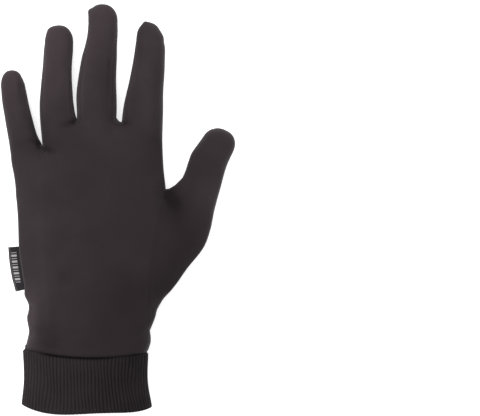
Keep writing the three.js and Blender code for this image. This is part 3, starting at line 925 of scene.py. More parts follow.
@dataclass
class Hand:
    """The cloth of the hand: how finely it is woven, and how it is cut into walls."""

    wall: float = 1.2
    gap: float = 0.2
    proud: float = 0.42
    seam_depth: float = 0.24
    seam_reach: float = 0.8
    seam_rounds: int = 12
    fine_thumb_seam: float = 0.65
    thumb_seam_x: tuple[float, float] = (12.0, 18.0)
    thumb_seam_y: tuple[float, float] = (14.0, 20.0)
    # How far, and from where along the fingers, the painted highlight beside the seams reaches.
    rim_reach: float = 2.6
    rim_y: tuple[float, float] = (54.0, 64.0)
    thumb_tip: float = 9.9
    thumb_lean: float = 0.5
    thumb_steps: int = 72
    thumb_steps_per_row: int = 11
    web_steps: int = 7
    rows_below: int = 16
    rows_above: int = 34
    knuckle_start: float = 0.7
    knuckle_slope: float = -0.11
    relax_before: int = 8
    relax_after: int = 12
    ease_rounds: int = 150
    ease_share: float = 0.7
    ease_facing: tuple[float, float] = (0.4, 0.75)
    ease_hem: tuple[float, float] = (-82.0, -62.0)
    ease_knuckles: tuple[float, float] = (52.0, 58.0)
    knuckle_peak_x: float = -14.0
    knuckle_fall: float = 0.34
    fingers: tuple[Finger, ...] = field(init=False)
    skin: Skin = field(init=False)
    crease_shade: Array = field(init=False)

    def __post_init__(self) -> None:
        """Makes the fingers and sews the skin."""
        self.fingers = (
            Finger(LITTLE, 10.1, outer_edge=Edge.LEFT, lean=-0.3),
            Finger(RING, 10.1),
            Finger(MIDDLE, 10.2),
            Finger(INDEX, 10.8, outer_edge=Edge.RIGHT, lean=-2.0),
        )
        self.skin = Skin(self._patches())
        self.skin.relax(self.relax_before)
        self.skin.ease(self.ease_rounds, self._top() * self.ease_share)
        self.skin.relax(self.relax_after)
        relief = Relief()
        normals = self.skin.normals()
        # The shade painted along the creases, carried to the cloth as its fold mark.
        self.crease_shade = relief.painted_crease_shade(self.skin.points, normals)
        self.skin.points = relief.apply(self.skin.points, normals)

    def _top(self) -> Array:
        """1 for the points that face up on the back of the hand, and 0 near its edges and hem.

        Towards the fingers it ends at a line that falls away to both sides of the middle finger.

        Returns:
            A share from 0 to 1 for each point of the skin.
        """
        x, y, _ = self.skin.points.T
        up = smooth_step(*self.ease_facing, self.skin.normals()[:, 2])
        from_peak = abs(x - self.knuckle_peak_x)
        beyond = smooth_step(*self.ease_knuckles, y + self.knuckle_fall * from_peak)
        return up * smooth_step(*self.ease_hem, y) * (1 - beyond)

    def _thumb(self) -> Sections:
        """The slices of the thumb.

        Returns:
            Slices from the seam on the hand to the point of the tip.
        """
        row = THUMB.read(np.linspace(0, THUMB.last, THUMB.last * self.thumb_steps_per_row + 1))
        body = Sections(
            left=points_of(row, "left_x", "left_y", "left_seam"),
            right=points_of(row, "right_x", "right_y", "right_seam"),
            back=row["back"],
            squareness=FINGER_SQUARENESS,
            bow=row["bow"],
            hollow=np.maximum(0, row["hollow"]),
        )
        return with_tip(body, self.thumb_tip, self.thumb_lean)

    def _thumb_turns(self) -> Array:
        """The turns over the thumb's first slice at which the hand's rows meet it."""
        return np.linspace(0, math.pi, self.thumb_steps + 1)

    def _places(self) -> Array:
        """The rows of the hand's table at which the skin has a row.

        Returns:
            Row numbers, which may lie between rows.
        """
        start, end = THUMB_SEAM_ROWS
        below = np.linspace(0, start, self.rows_below + 1)[:-1]
        beside = start + self._thumb_turns() / math.pi * (end - start)
        above = np.linspace(end, HAND.last, self.rows_above + 1)[1:]
        return np.concatenate([below, beside, above])

    def _hand_rows(self, thumb: Sections, shares: Array, side: Side) -> Array:
        """The rows of the hand before they part into fingers.

        Beside the thumb a row ends on the thumb's first slice, so its section is cut short at the
        place across it where it has the height of that end.

        Args:
            thumb: The thumb's slices.
            shares: The places of the columns, from 0 at the left end to 1 at the right end.
            side: The face of the hand.

        Returns:
            Rows by columns by three coordinates.
        """
        place = self._places()
        row = HAND.read(place)
        start, end = THUMB_SEAM_ROWS
        below, above = place < start, place > end
        beside = ~(below | above)
        ends = np.zeros((len(place), 3))
        for part, table, first in ((below, RIGHT_BELOW_THUMB, 0), (above, RIGHT_ABOVE_THUMB, end)):
            ends[part] = points_of(table.read(place[part] - first), *RIGHT_COLUMNS)
        seam = ends[:, 2].copy()
        turns = self._thumb_turns()
        ends[beside] = thumb.first(1).around(turns[None], side)[0]
        seam[beside] = thumb.right[0, 2] + (thumb.left[0, 2] - thumb.right[0, 2]) * turns / math.pi
        left = points_of(row, "left_x", "left_y", "left_seam")
        right = np.stack([ends[:, 0], ends[:, 1], seam], 1)
        squareness = HAND_SQUARENESS[side]
        if side is Side.BACK:
            rise = (ends[:, 2] - seam) / (row["back"] - seam)
        else:
            rise = (seam - ends[:, 2]) / (UNDERSIDE_FULLNESS * seam)
        cut = height_share(np.clip(rise, 0, 1), squareness)
        cut = np.where(beside, cut, 1)[:, None]
        across = shares * (1 + cut) - 1
        sections = Sections(left, right, row["back"], HAND_SQUARENESS, sag=row["sag"])
        points = sections.across(across, side)
        plan = left[:, None] + (right - left)[:, None] * shares[:, None]
        sag = row["sag"][:, None] * (1 - across**2) * (1 if side is Side.BACK else PALM_SIDE_SAG)
        points[..., 0] = plan[..., 0]
        points[..., 1] = plan[..., 1] - sag
        points[:, -1] = ends
        points[:, 0] = left
        return points

    def _roots(self, webs: Sequence[Array], side: Side) -> Array:
        """The row in which the hand parts: every finger's first arc and the webs between them.

        Args:
            webs: The rows of the web between each finger and the next one.
            side: The face of the hand.

        Returns:
            Points from left to right.
        """
        seam = -1 if side is Side.BACK else 0
        parts = []
        for k, finger in enumerate(self.fingers):
            parts.append(finger.arcs(side)[0])
            if k < len(webs):
                parts.append(webs[k][:, seam])
        return np.concatenate(parts)

    def _face_patches(
        self, panel: Panel, side: Side, thumb: Sections, webs: Sequence[Array],
    ) -> list[Patch]:
        """The body of the hand on one face, and the fingers on it.

        The last row of the body meets the roots of the fingers. The rows before it follow it by a
        share that their table gives. Their heights follow it near the knuckles alone, and before
        them the back slopes down by as much as a row was moved forward.

        Args:
            panel: The panel on this face.
            side: The face of the hand.
            thumb: The thumb's slices.
            webs: The rows of the web between each finger and the next one.

        Returns:
            Five grids.
        """
        roots = self._roots(webs, side)
        line = np.array(HAND.rows[-1][:2])
        width = np.array(RIGHT_ABOVE_THUMB.rows[-1][:2]) - line
        shares = np.clip((roots[:, :2] - line) @ width / (width @ width), 0, 1)
        rows = self._hand_rows(thumb, shares, side)
        splay = np.clip(HAND.read(self._places())["splay"], 0, 1)
        knuckle = smooth_step(self.knuckle_start, 1, splay)
        points = rows + (roots - rows[-1]) * np.stack([splay, splay, knuckle], -1)[:, None]
        if side is Side.BACK:
            forward = (roots[:, 1] - rows[-1, :, 1]) * splay[:, None]
            points[..., 2] += self.knuckle_slope * forward * (1 - knuckle[:, None])
        points[-1] = roots
        points[:-1, -1] = rows[:-1, -1]
        cloth = cloth_of(points)
        turned_over = side is Side.PALM
        patches = [Patch(panel, points, cloth, turned_over)]
        column = 0
        for finger in self.fingers:
            arcs = finger.arcs(side)
            start = cloth[-1, column : column + arcs.shape[1]]
            patches.append(Patch(panel, arcs, cloth_of(arcs, start), turned_over))
            column += arcs.shape[1] + self.web_steps
        return patches

    def _patches(self) -> list[Patch]:
        """Every grid of the skin.

        Returns:
            The two faces of the hand with their fingers, the fourchettes and the thumb.
        """
        strips = [(finger.strip_grid(Edge.LEFT), finger.strip_grid(Edge.RIGHT)) for finger in self.fingers]
        gaps = [(right, next_left) for (_, right), (next_left, _) in zip(strips, strips[1:])]
        webs = [web_rows(right[0], next_left[0], self.web_steps) for right, next_left in gaps]
        thumb = self._thumb()
        patches = self._face_patches(Panel.BACK, Side.BACK, thumb, webs)
        patches += self._face_patches(Panel.PALM, Side.PALM, thumb, webs)
        for panel, (right, next_left), web in zip(FOURCHETTES, gaps, webs):
            points = np.concatenate([right[::-1], web, next_left])
            patches.append(Patch(panel, points, cloth_of(points)))
        turns = self._thumb_turns()
        over = thumb.around(turns[None], Side.BACK)
        under = thumb.around(turns[None], Side.PALM)[:, -2::-1]
        points = np.concatenate([over, under], axis=1)
        patches.append(Patch(Panel.THUMB, points, cloth_of(points), True))
        return patches

    def build(self, finishes: Mapping[Panel, "Finish"]) -> None:
        """Cuts every panel out of the skin and dresses it.

        Args:
            finishes: The finish of each panel.
        """
        normals = self.skin.normals()
        for panel, parts in self.skin.panels.items():
            faces = np.concatenate([part for part, _ in parts])
            cloth = np.concatenate([flat for _, flat in parts])
            self._wall(panel, faces, cloth, normals, finishes[panel])

    def _wall(self, panel: Panel, faces: Array, cloth: Array, normals: Array, finish: "Finish") -> None:
        """Makes one panel a closed wall whose edges roll in at the seams.

        The outer face sinks beside a seam by a Gaussian of the distance from it. The inner face is
        the skin moved in by the thickness of the cloth. The cut edge joins the two.

        Args:
            panel: The panel.
            faces: Its faces on the skin.
            cloth: The flat cloth's coordinates at each corner of each face.
            normals: The skin's outward directions.
            finish: What it is dressed in.
        """
        used, local = np.unique(faces, return_inverse=True)
        local = local.reshape(faces.shape)
        points, outward = self.skin.points[used], normals[used]
        edges, rim = unique_edges(local), rim_of(local)
        distance = distance_from(points, edges, np.unique(rim), self.seam_rounds)
        bold = self._seam_boldness(points)
        drawn = self._drawn_in(points, outward, edges, distance == 0, bold)
        sunk = self.seam_depth * bold * np.exp(-((distance / self.seam_reach) ** 2))
        outer = drawn + outward * (self.proud - sunk)[:, None]
        outer[:, 2] = np.maximum(0, outer[:, 2])
        inner = drawn - outward * self.wall
        count = len(points)
        cut = np.concatenate([rim[:, ::-1], rim + count], axis=1)
        all_faces = np.concatenate([local, local[:, ::-1] + count, cut])
        piece = Piece(f"{panel.value}_cloth", np.concatenate([outer, inner]), all_faces)
        piece.cloth = np.concatenate([cloth, cloth[:, ::-1], np.zeros((len(cut), 4, 2))])
        # A painted highlight beside the seams of the fingers, carried as the rim mark; the fold mark
        # carries the creases' painted shade.
        painted_rim_highlight = smooth_step(*self.rim_y, points[:, 1]) * np.exp(-((distance / self.rim_reach) ** 2))
        marks = {"seam": bold * np.exp(-(distance**2)), "rim": painted_rim_highlight, "fold": self.crease_shade[used]}
        piece.marks = {name: np.tile(values, 2) for name, values in marks.items()}
        piece.finish(finish, panel.value)

    def _drawn_in(
        self, points: Array, outward: Array, edges: Array, on_rim: Array, bold: Array,
    ) -> Array:
        """Draws the rim of a panel in along the surface, by half the gap between two panels.

        Args:
            points: The points of the panel.
            outward: Their outward directions.
            edges: The pairs of neighbours.
            on_rim: Which of the points are on the rim.
            bold: How bold the seam is at each point.

        Returns:
            The points.
        """
        pull = spread_sum(edges, np.where(on_rim[:, None], 0, points))
        count = spread_sum(edges, np.where(on_rim, 0.0, 1.0)[:, None])
        pull = np.where(count > 0, pull / np.maximum(count, 1) - points, 0)
        pull -= outward * np.sum(pull * outward, axis=1, keepdims=True)
        size = np.linalg.norm(pull, axis=1, keepdims=True)
        aside = pull / np.maximum(size, 1e-9) * (self.gap / 2 * bold)[:, None]
        return points + np.where(on_rim[:, None], aside, 0)

    def _seam_boldness(self, points: Array) -> Array:
        """1 at the seams of the fingers, and less at the seam round the thumb's root."""
        beside = smooth_step(*self.thumb_seam_x, points[:, 0])
        return 1 - self.fine_thumb_seam * beside * (1 - smooth_step(*self.thumb_seam_y, points[:, 1]))


FAR_AWAY = 1000.0


def distance_from(points: Array, edges: Array, seeds: Array, rounds: int) -> Array:
    """The distance along the surface from some of its points, as far as the rounds reach.

    In each round a point takes the least of its neighbours' distances plus the step to it.

    Args:
        points: All points.
        edges: The pairs of neighbours.
        seeds: The points at distance 0.
        rounds: How many steps to take.

    Returns:
        A distance for each point, in millimetres, and a large number beyond the last step.
    """
    distance = np.full(len(points), FAR_AWAY)
    distance[seeds] = 0
    length = np.linalg.norm(points[edges[:, 0]] - points[edges[:, 1]], axis=1)
    for _ in range(rounds):
        for a, b in ((0, 1), (1, 0)):
            np.minimum.at(distance, edges[:, a], distance[edges[:, b]] + length)
    return distance


# ---- Pieces ----


# The turn in degrees from which an edge looks sharp.
SHARP_TURN = 62


@dataclass
class Piece:
    """A finished mesh on its way into the scene."""

    name: str
    points: Array
    faces: Array
    cloth: Array | None = None
    marks: dict[str, Array] = field(default_factory=dict)

    def finish(self, finish: "Finish", *nodes: str) -> bpy.types.Object:
        """Makes the object, dresses it and hands it to the frame.

        Args:
            finish: What it is dressed in.
            nodes: The nodes that it stands for.

        Returns:
            The new object.
        """
        mesh = bpy.data.meshes.new(self.name)
        corners, loops = self._corners()
        mesh.from_pydata((self.points * MM).tolist(), [], corners)
        if self.cloth is not None:
            uv = mesh.uv_layers.new(name="cloth")
            uv.data.foreach_set("uv", (self.cloth.reshape(-1, 2)[loops] * MM).ravel())
        for name, values in self.marks.items():
            mark = mesh.attributes.new(name, "FLOAT", "POINT")
            mark.data.foreach_set("value", values.astype(np.float32))
        mesh.polygons.foreach_set("use_smooth", np.ones(len(mesh.polygons), bool))
        mesh.set_sharp_from_angle(angle=math.radians(SHARP_TURN))
        mesh.materials.append(finish.material())
        piece = bpy.data.objects.new(self.name, mesh)
        bpy.context.scene.collection.objects.link(piece)
        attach(piece, BODY)
        if nodes:
            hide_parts(*nodes)
        log.info("%s: %d faces", self.name, len(mesh.polygons))
        return piece

    def _corners(self) -> tuple[list[list[int]], Array]:
        """Finds the faces two of whose four corners coincide, and makes them triangles.

        Returns:
            The corners of each face, and the place of each of them among all faces' corners.
        """
        following = np.roll(self.faces, -1, axis=1)
        kept = self.faces != following
        count = kept.sum(axis=1)
        loops = np.arange(self.faces.size).reshape(self.faces.shape)
        quads, triangles = count == 4, count == 3
        corners = self.faces[quads].tolist()
        corners += self.faces[triangles][kept[triangles]].reshape(-1, 3).tolist()
        order = np.concatenate([loops[quads].ravel(), loops[triangles][kept[triangles]]])
        return corners, order


def closed_faces(rows: int, columns: int, close_rows: bool) -> Array:
    """The faces of a grid whose rows close on themselves, and whose columns may do so too.

    Args:
        rows: The number of rows.
        columns: The number of columns.
        close_rows: Whether the last row is joined to the first one.

    Returns:
        Rows by columns by the numbers of four corners.
    """
    row = np.arange(rows if close_rows else rows - 1)[:, None]
    column = np.arange(columns)[None]
    after_row, after_column = (row + 1) % rows, (column + 1) % columns
    corners = [(row, column), (row, after_column), (after_row, after_column), (after_row, column)]
    return np.stack([np.broadcast_to(r * columns + c, (len(row), columns)) for r, c in corners], -1)


@dataclass
class Cuff:
    """The ribbed knit at the wrist, folded double at its open end."""

    ribs: int = 90
    columns_per_rib: int = 10
    fine_steps: int = 4000
    rib_depth: float = 0.55
    rib_power: float = 0.75
    fold_depth: float = 0.25
    lining_depth: float = 0.5
    lining_lift: float = 0.2
    wander: float = 0.18
    wander_start: float = 6.0
    proud: float = 0.3
    wall: float = 2.4
    tuck: float = 1.5
    outer_rows: int = 34
    fold_rows: int = 7
    inner_rows: int = 14
    flat_round: float = 190.0
    # Where the shadow of the hand's hem is painted on the cuff's top, and how strong it is across it.
    shade_start: float = 2.4
    shade_reach: float = 1.5
    shade_least: float = 0.25
    shade_from_x: tuple[float, float] = (-50.0, -40.0)
    shade_to_x: tuple[float, float] = (-14.0, 2.0)
    lip: RowTable = RowTable(
        ("place", "depth"),
        ((-0.15, 0.0), (-0.06, 0.0), (-0.02, 0.1), (0.02, 0.3), (0.05, 0.6), (0.08, 0.85)),
    )
    wanders: RowTable = RowTable(
        ("length", "turns", "share"), ((9.5, 3, 1.0), (4.1, 7, 0.5), (6.3, 17, 0.5)),
    )

    def _sections(self, place: Array, inset: Array) -> Sections:
        """The cuff's slices.

        Args:
            place: Row numbers of its table.
            inset: How far each slice is drawn in.

        Returns:
            A slice for each place.
        """
        row = CUFF.read(place)
        sides = np.stack([inset, np.zeros(len(inset)), np.zeros(len(inset))], 1)
        return Sections(
            left=points_of(row, "left_x", "left_y", "seam") + sides,
            right=points_of(row, "right_x", "right_y", "seam") - sides,
            back=row["back"] - inset,
            squareness=HAND_SQUARENESS,
            sag=row["sag"],
            skew=row["skew"],
            corners=row["corners"],
        )

    def _round(self, sections: Sections, angle: Array) -> Array:
        """Closed rounds of points at angles from 0 to a full turn."""
        over, under = sections.around(angle, Side.BACK), sections.around(angle, Side.PALM)
        return np.where((np.sin(angle) >= 0)[..., None], over, under)

    def _angles(self) -> Array:
        """Angles that give columns of equal width round the middle of the cuff.

        Returns:
            An angle for each column.
        """
        fine = np.linspace(0, 2 * math.pi, self.fine_steps + 1)
        middle = self._sections(np.array([1.0]), np.array([0.0]))
        run = lengths_along(self._round(middle, fine[None]), 1)[0]
        count = self.ribs * self.columns_per_rib
        return np.interp(np.arange(count) / count * run[-1], run, fine)

    def _profile(self) -> tuple[Array, Array, Array, Array]:
        """The profile: down the outside from the lip, round the fold in half a circle and up inside.

        Returns:
            For each row its place in the table, how far it is drawn in, how far down the fold it
            lies, from 0 to 1, and the depth of the ribs.
        """
        lip_place, lip_depth = np.array(self.lip.rows).T
        outer = np.concatenate([lip_place, np.linspace(0.1, CUFF.last, self.outer_rows)])
        bend = np.linspace(0, math.pi, self.fold_rows + 2)[1:-1]
        inner = np.linspace(CUFF.last, 0, self.inner_rows)
        place = np.concatenate([outer, np.full(self.fold_rows, CUFF.last), inner])
        outer_inset = self.tuck * (1 - smooth_step(-0.06, 0.06, outer)) - self.proud
        fold_inset = self.wall / 2 * (1 - np.cos(bend)) - self.proud * (1 + np.cos(bend)) / 2
        inset = np.concatenate([outer_inset, fold_inset, np.full(len(inner), self.wall)])
        fold = np.concatenate([np.zeros(len(outer)), np.sin(bend), np.zeros(len(inner))])
        outer_depth = 1 - (1 - self.fold_depth) * smooth_step(1.8, 2.0, outer)
        outer_depth[: len(lip_depth)] *= lip_depth
        fold_depth = np.full(self.fold_rows, self.fold_depth)
        inner_depth = np.full(len(inner), self.lining_depth)
        depth = self.rib_depth * np.concatenate([outer_depth, fold_depth, inner_depth])
        return place, inset, fold, depth

    def _grooves(self, run: Array, angle: Array) -> Array:
        """How deep each point lies between two ribs.

        It is one less the sine of the place within a rib to a power, so that the ribs are round and
        the grooves narrow. Slow sines of the place along and round the cuff make them wander.

        Args:
            run: The distance of each point from the top of the cuff, rows by columns.
            angle: The angle of each column.

        Returns:
            Rows by columns, from 0 on a rib to 1 in a groove.
        """
        slip = np.zeros_like(run)
        for length, turns, share in self.wanders.rows:
            slip += share * np.sin(run / length + angle * turns)
        ribs = np.arange(len(angle)) / self.columns_per_rib
        phase = ribs + self.wander * slip * smooth_step(0, self.wander_start, run)
        return 1 - np.abs(np.sin(math.pi * phase)) ** self.rib_power

    def _cloth(self, run: Array) -> Array:
        """The flat cloth's coordinates at each corner of each face.

        Args:
            run: The distance of each point from the top of the cuff, rows by columns.

        Returns:
            Rows by columns by four corners by two lengths.
        """
        rows, columns = run.shape
        column = np.arange(columns)
        corners = np.stack([column, column + 1, column + 1, column], -1)
        across = np.broadcast_to(corners / columns * self.flat_round, (rows, columns, 4))
        here = np.concatenate([run, run[-1:] + self.wall])
        there = np.roll(here, -1, axis=1)
        along = np.stack([here[:-1], there[:-1], there[1:], here[1:]], -1)
        return np.stack([across, along], -1)

    def build(self, finish: "Finish") -> bpy.types.Object:
        """Makes the cuff: a closed profile carried round it, and pressed in at the grooves.

        Args:
            finish: What it is dressed in.

        Returns:
            The cuff.
        """
        angle = self._angles()
        place, inset, fold, depth = self._profile()
        points = self._round(self._sections(place, inset), angle[None])
        points[..., 1] -= self.wall / 2 * fold[:, None]
        run = lengths_along(points, 0)
        groove = self._grooves(run, angle)
        faces = closed_faces(*run.shape, close_rows=True).reshape(-1, 4)
        outward = face_normals(points.reshape(-1, 3), faces).reshape(points.shape)
        points = points - outward * (groove * depth[:, None])[..., None]
        lift = self.lining_lift * np.maximum(inset, 0)
        points[..., 2] = np.maximum(points[..., 2], lift[:, None])
        piece = Piece("rib_cuff_knit", points.reshape(-1, 3), faces)
        piece.cloth = self._cloth(run).reshape(-1, 4, 2)
        x = points[..., 0]
        # Shadow painted along the cuff's top under the hand's hem, strongest over a stretch of the middle;
        # it is carried as the seam mark.
        hem_shadow = np.exp(-((np.maximum(0, run - self.shade_start) / self.shade_reach) ** 2))
        middle = smooth_step(*self.shade_from_x, x) * (1 - smooth_step(*self.shade_to_x, x))
        shade = hem_shadow * (self.shade_least + (1 - self.shade_least) * middle)
        piece.marks = {"seam": shade.reshape(-1), "groove": np.clip(groove, 0, 1).reshape(-1)}
        return piece.finish(finish, "rib_cuff")


@dataclass
class Label:
    """The folded label in the side seam: a tape doubled over, with its loop on the outside."""

    rows: int = 44
    reach_steps: int = 13
    bend_steps: int = 8
    layer: float = 0.36
    gap: float = 0.16
    sway: float = 0.35
    sway_turn: float = 1.4 * math.pi
    table: RowTable = RowTable(
        ("inner_x", "inner_y", "inner_z", "outer_x", "outer_y", "outer_z"),
        (
            (-60.3, -23.6, 12.5, -68.6, -24.1, 12.4),
            (-59.5, -32.4, 12.9, -67.8, -33.6, 12.0),
            (-58.1, -41.4, 13.4, -66.2, -43.2, 12.2),
            (-56.7, -50.3, 13.8, -63.9, -51.9, 12.8),
        ),
    )

    def build(self, finish: "Finish") -> bpy.types.Object:
        """Makes the label.

        Its profile is a hairpin: along the upper layer to the loop, half a circle round it and
        back along the lower layer, with the same again one layer's thickness further in. The
        profile is carried along the seam.

        Args:
            finish: What it is dressed in.

        Returns:
            The label.
        """
        row = self.table.read(np.linspace(0, self.table.last, self.rows))
        inner = points_of(row, "inner_x", "inner_y", "inner_z")
        outer = points_of(row, "outer_x", "outer_y", "outer_z")
        far = self.layer + self.gap / 2
        out, over, up = self._profile(far, self.gap / 2)
        line = outer - inner
        length = np.linalg.norm(line, axis=1, keepdims=True)
        share = out * (1 - far / length)
        points = inner[:, None] + line[:, None] * share[..., None]
        points += (line / length)[:, None] * over[:, None]
        points[..., 2] += up
        sway = np.sin(np.linspace(0, self.sway_turn, self.rows))[:, None]
        points[..., 2] += sway * out**2 * self.sway
        rows, columns = points.shape[:2]
        faces = closed_faces(rows, columns, close_rows=False).reshape(-1, 4)
        half = columns // 2
        first = np.arange(half - 1)
        lid = np.stack([first, first + 1, columns - 2 - first, columns - 1 - first], -1)
        last = (rows - 1) * columns
        faces = np.concatenate([faces, lid[:, ::-1], lid + last])
        run = lengths_along(points, 0)
        width = out * float(length.mean())
        flat = np.stack([np.broadcast_to(width, (rows, columns)), run], -1).reshape(-1, 2)
        piece = Piece("side_label_tape", points.reshape(-1, 3), faces)
        piece.cloth = flat[faces]
        return piece.finish(finish, "side_label")

    def _profile(self, *radii: float) -> tuple[Array, Array, Array]:
        """The hairpin: round the loop along the larger radius, and back along the smaller one.

        Args:
            radii: The distances of the tape's two faces from its middle.

        Returns:
            For each point how far out it lies, as a share of the label's width, how far beyond
            that in the loop, and how high.
        """
        reach = np.linspace(0, 1, self.reach_steps + 1)
        bend = np.linspace(0, math.pi, self.bend_steps + 1)[1:-1]
        flat, ones = np.zeros(len(reach)), np.ones(len(reach))
        out = np.concatenate([reach, np.ones(len(bend)), reach[::-1]])
        over = np.concatenate([flat, np.sin(bend), flat])
        up = np.concatenate([ones, np.cos(bend), -ones])
        larger, smaller = ((out, over * radius, up * radius) for radius in radii)
        out, over, up = (np.concatenate([a, b[::-1]]) for a, b in zip(larger, smaller))
        return out, over, up


# ---- Finishes ----


class Value:
    """A socket that takes part in arithmetic."""

    def __init__(self, graph: "Graph", socket: bpy.types.NodeSocket) -> None:
        """Wraps a socket.

        Args:
            graph: The graph that the socket belongs to.
            socket: An output that gives one number.
        """
        self.graph = graph
        self.socket = socket

    def _math(self, operation: str, *operands: "Value | float") -> "Value":
        """Adds a Math node.

        Args:
            operation: The node's operation.
            operands: What it works on, in the order of its inputs.

        Returns:
            The result.
        """
        sockets = dict(enumerate(operands))
        node = self.graph.add("ShaderNodeMath", {"operation": operation}, sockets)
        return Value(self.graph, node.outputs[0])

    def __add__(self, other: "Value | float") -> "Value":
        """This plus the other."""
        return self._math("ADD", self, other)

    def __radd__(self, other: float) -> "Value":
        """The other plus this."""
        return self._math("ADD", other, self)

    def __sub__(self, other: "Value | float") -> "Value":
        """This less the other."""
        return self._math("SUBTRACT", self, other)

    def __rsub__(self, other: float) -> "Value":
        """The other less this."""
        return self._math("SUBTRACT", other, self)

    def __mul__(self, other: "Value | float") -> "Value":
        """This times the other."""
        return self._math("MULTIPLY", self, other)

    def __rmul__(self, other: float) -> "Value":
        """The other times this."""
        return self._math("MULTIPLY", other, self)

    def __truediv__(self, other: "Value | float") -> "Value":
        """This divided by the other."""
        return self._math("DIVIDE", self, other)

    def __pow__(self, power: float) -> "Value":
        """This to a power."""
        return self._math("POWER", self, power)

    def __abs__(self) -> "Value":
        """This without its sign."""
        return self._math("ABSOLUTE", self)

    def fraction(self) -> "Value":
        """What is left of this above the whole number below it."""
        return self._math("FRACT", self)

    def cosine(self) -> "Value":
        """The cosine of this, in radians."""
        return self._math("COSINE", self)

    def rise(self, low: float, high: float) -> "Value":
        """A smooth step up.

        Args:
            low: The value up to which the step is 0.
            high: The value from which it is 1.

        Returns:
            The step.
        """
        sockets = {"Value": self, "From Min": low, "From Max": high}
        node = self.graph.add("ShaderNodeMapRange", {"interpolation_type": "SMOOTHSTEP"}, sockets)
        return Value(self.graph, node.outputs["Result"])

    def fall(self, low: float, high: float) -> "Value":
        """A smooth step down: 1 up to the low value and 0 from the high one."""
        return 1 - self.rise(low, high)


class Graph:
    """The nodes of one material."""

    def __init__(self, name: str) -> None:
        """Starts a material with a Principled shader alone.

        Args:
            name: The material's name.
        """
        self.material = bpy.data.materials.new(name)
        self.material.use_nodes = True
        self.tree = self.material.node_tree
        self.tree.nodes.clear()
        self.shader = self.add("ShaderNodeBsdfPrincipled")
        output = self.add("ShaderNodeOutputMaterial")
        self.tree.links.new(self.shader.outputs[0], output.inputs["Surface"])

    def add(
        self, kind: str, settings: Mapping[str, object] | None = None,
        sockets: Mapping[str | int, object] | None = None,
    ) -> bpy.types.Node:
        """Adds a node.

        Args:
            kind: The node's type.
            settings: Its own settings, which are set first.
            sockets: The values or links of its inputs, by name or number.

        Returns:
            The new node.
        """
        node = self.tree.nodes.new(kind)
        for name, value in (settings or {}).items():
            setattr(node, name, value)
        for name, value in (sockets or {}).items():
            self.set(node.inputs[name], value)
        return node

    def set(self, socket: bpy.types.NodeSocket, value: object) -> None:
        """Gives an input a link or a value.

        Args:
            socket: The input.
            value: A Value, an output, or what the input takes by itself.
        """
        if isinstance(value, Value):
            value = value.socket
        if isinstance(value, bpy.types.NodeSocket):
            self.tree.links.new(value, socket)
        else:
            socket.default_value = value

    def feed(self, **inputs: object) -> None:
        """Sets inputs of the shader, whose names are written with _ for a space."""
        for name, value in inputs.items():
            self.set(self.shader.inputs[name.replace("_", " ")], value)

    def mix(self, share: Value, low: object, high: object) -> bpy.types.NodeSocket:
        """A colour between two.

        Args:
            share: 0 for the first colour and 1 for the second.
            low: The first colour.
            high: The second colour.

        Returns:
            The output with the colour.
        """
        node = self.add("ShaderNodeMix", {"data_type": "RGBA"}, {0: share, 6: low, 7: high})
        return node.outputs[2]

    def noise(self, where: bpy.types.NodeSocket, scale: float, detail: float) -> Value:
        """A noise from 0 to 1, with a mean of a half."""
        sockets = {"Vector": where, "Scale": scale, "Detail": detail}
        return Value(self, self.add("ShaderNodeTexNoise", None, sockets).outputs[0])

    def axes(self, vector: bpy.types.NodeSocket) -> list[Value]:
        """The three numbers of a vector."""
        node = self.add("ShaderNodeSeparateXYZ", None, {0: vector})
        return [Value(self, output) for output in node.outputs]

    def mark(self, name: str) -> Value:
        """A number that the mesh carries at its points."""
        node = self.add("ShaderNodeAttribute", {"attribute_name": name})
        return Value(self, node.outputs["Fac"])

    def bump(self, height: Value, distance: float) -> None:
        """Raises the surface's relief by a height from 0 to 1 over a distance in metres."""
        node = self.add("ShaderNodeBump", None, {"Height": height, "Distance": distance})
        self.feed(Normal=node.outputs[0])


def colour(red: float, green: float, blue: float) -> tuple[float, float, float, float]:
    """A linear colour from the three values of a screen colour, each from 0 to 255.

    Args:
        red: How much red.
        green: How much green.
        blue: How much blue.

    Returns:
        The colour, with an alpha of 1.
    """
    values = [v / 255 for v in (red, green, blue)]
    linear = [v / 12.92 if v <= 0.04045 else ((v + 0.055) / 1.055) ** 2.4 for v in values]
    return (linear[0], linear[1], linear[2], 1.0)


def jersey(u: Value, v: Value, wale: float, course: float) -> Value:
    """The height of plain knitting, from 0 to 1.

    Columns of the given width hold stitches of the given length. A stitch is a V: its place along
    the column is moved by the distance from the column's middle line, and each leg is round.

    Args:
        u: The distance across the columns, in metres.
        v: The distance along them, in metres.
        wale: The width of a column, in metres.
        course: The length of a stitch, in metres.

    Returns:
        The height.
    """
    across = (u / wale).fraction() - 0.5
    along = (v / course + abs(across) * 1.1).fraction() - 0.5
    leg = 1 - (abs(along) * 2) ** 2.0
    split = 0.5 - 0.5 * (across * (4 * math.pi)).cosine()
    return leg * (0.35 + 0.65 * split)


# The fuzz of cloth, and the little that it shines under the fuzz.
SHEEN_ROUGHNESS = 0.4
SHEEN_TINT = (0.9, 0.88, 0.9, 1.0)
SPECULAR_LEVEL = 0.05


@dataclass(frozen=True)
class Finish:
    """What a piece is dressed in. Its material is made once."""

    name: str
    slot: str
    base: tuple[float, float, float, float]
    roughness: float = 0.8
    sheen: float = 0.3

    def material(self) -> bpy.types.Material:
        """The material, made the first time that it is asked for.

        Returns:
            The material.
        """
        found = bpy.data.materials.get(self.name)
        if found is not None:
            return found
        graph = Graph(self.name)
        graph.feed(Sheen_Weight=self.sheen, Sheen_Roughness=SHEEN_ROUGHNESS, Sheen_Tint=SHEEN_TINT)
        graph.feed(Specular_IOR_Level=SPECULAR_LEVEL)
        graph.material.diffuse_color = self.base
        self.dress(graph)
        return graph.material

    def dress(self, graph: Graph) -> None:
        """Adds this finish's own nodes."""
        raise NotImplementedError


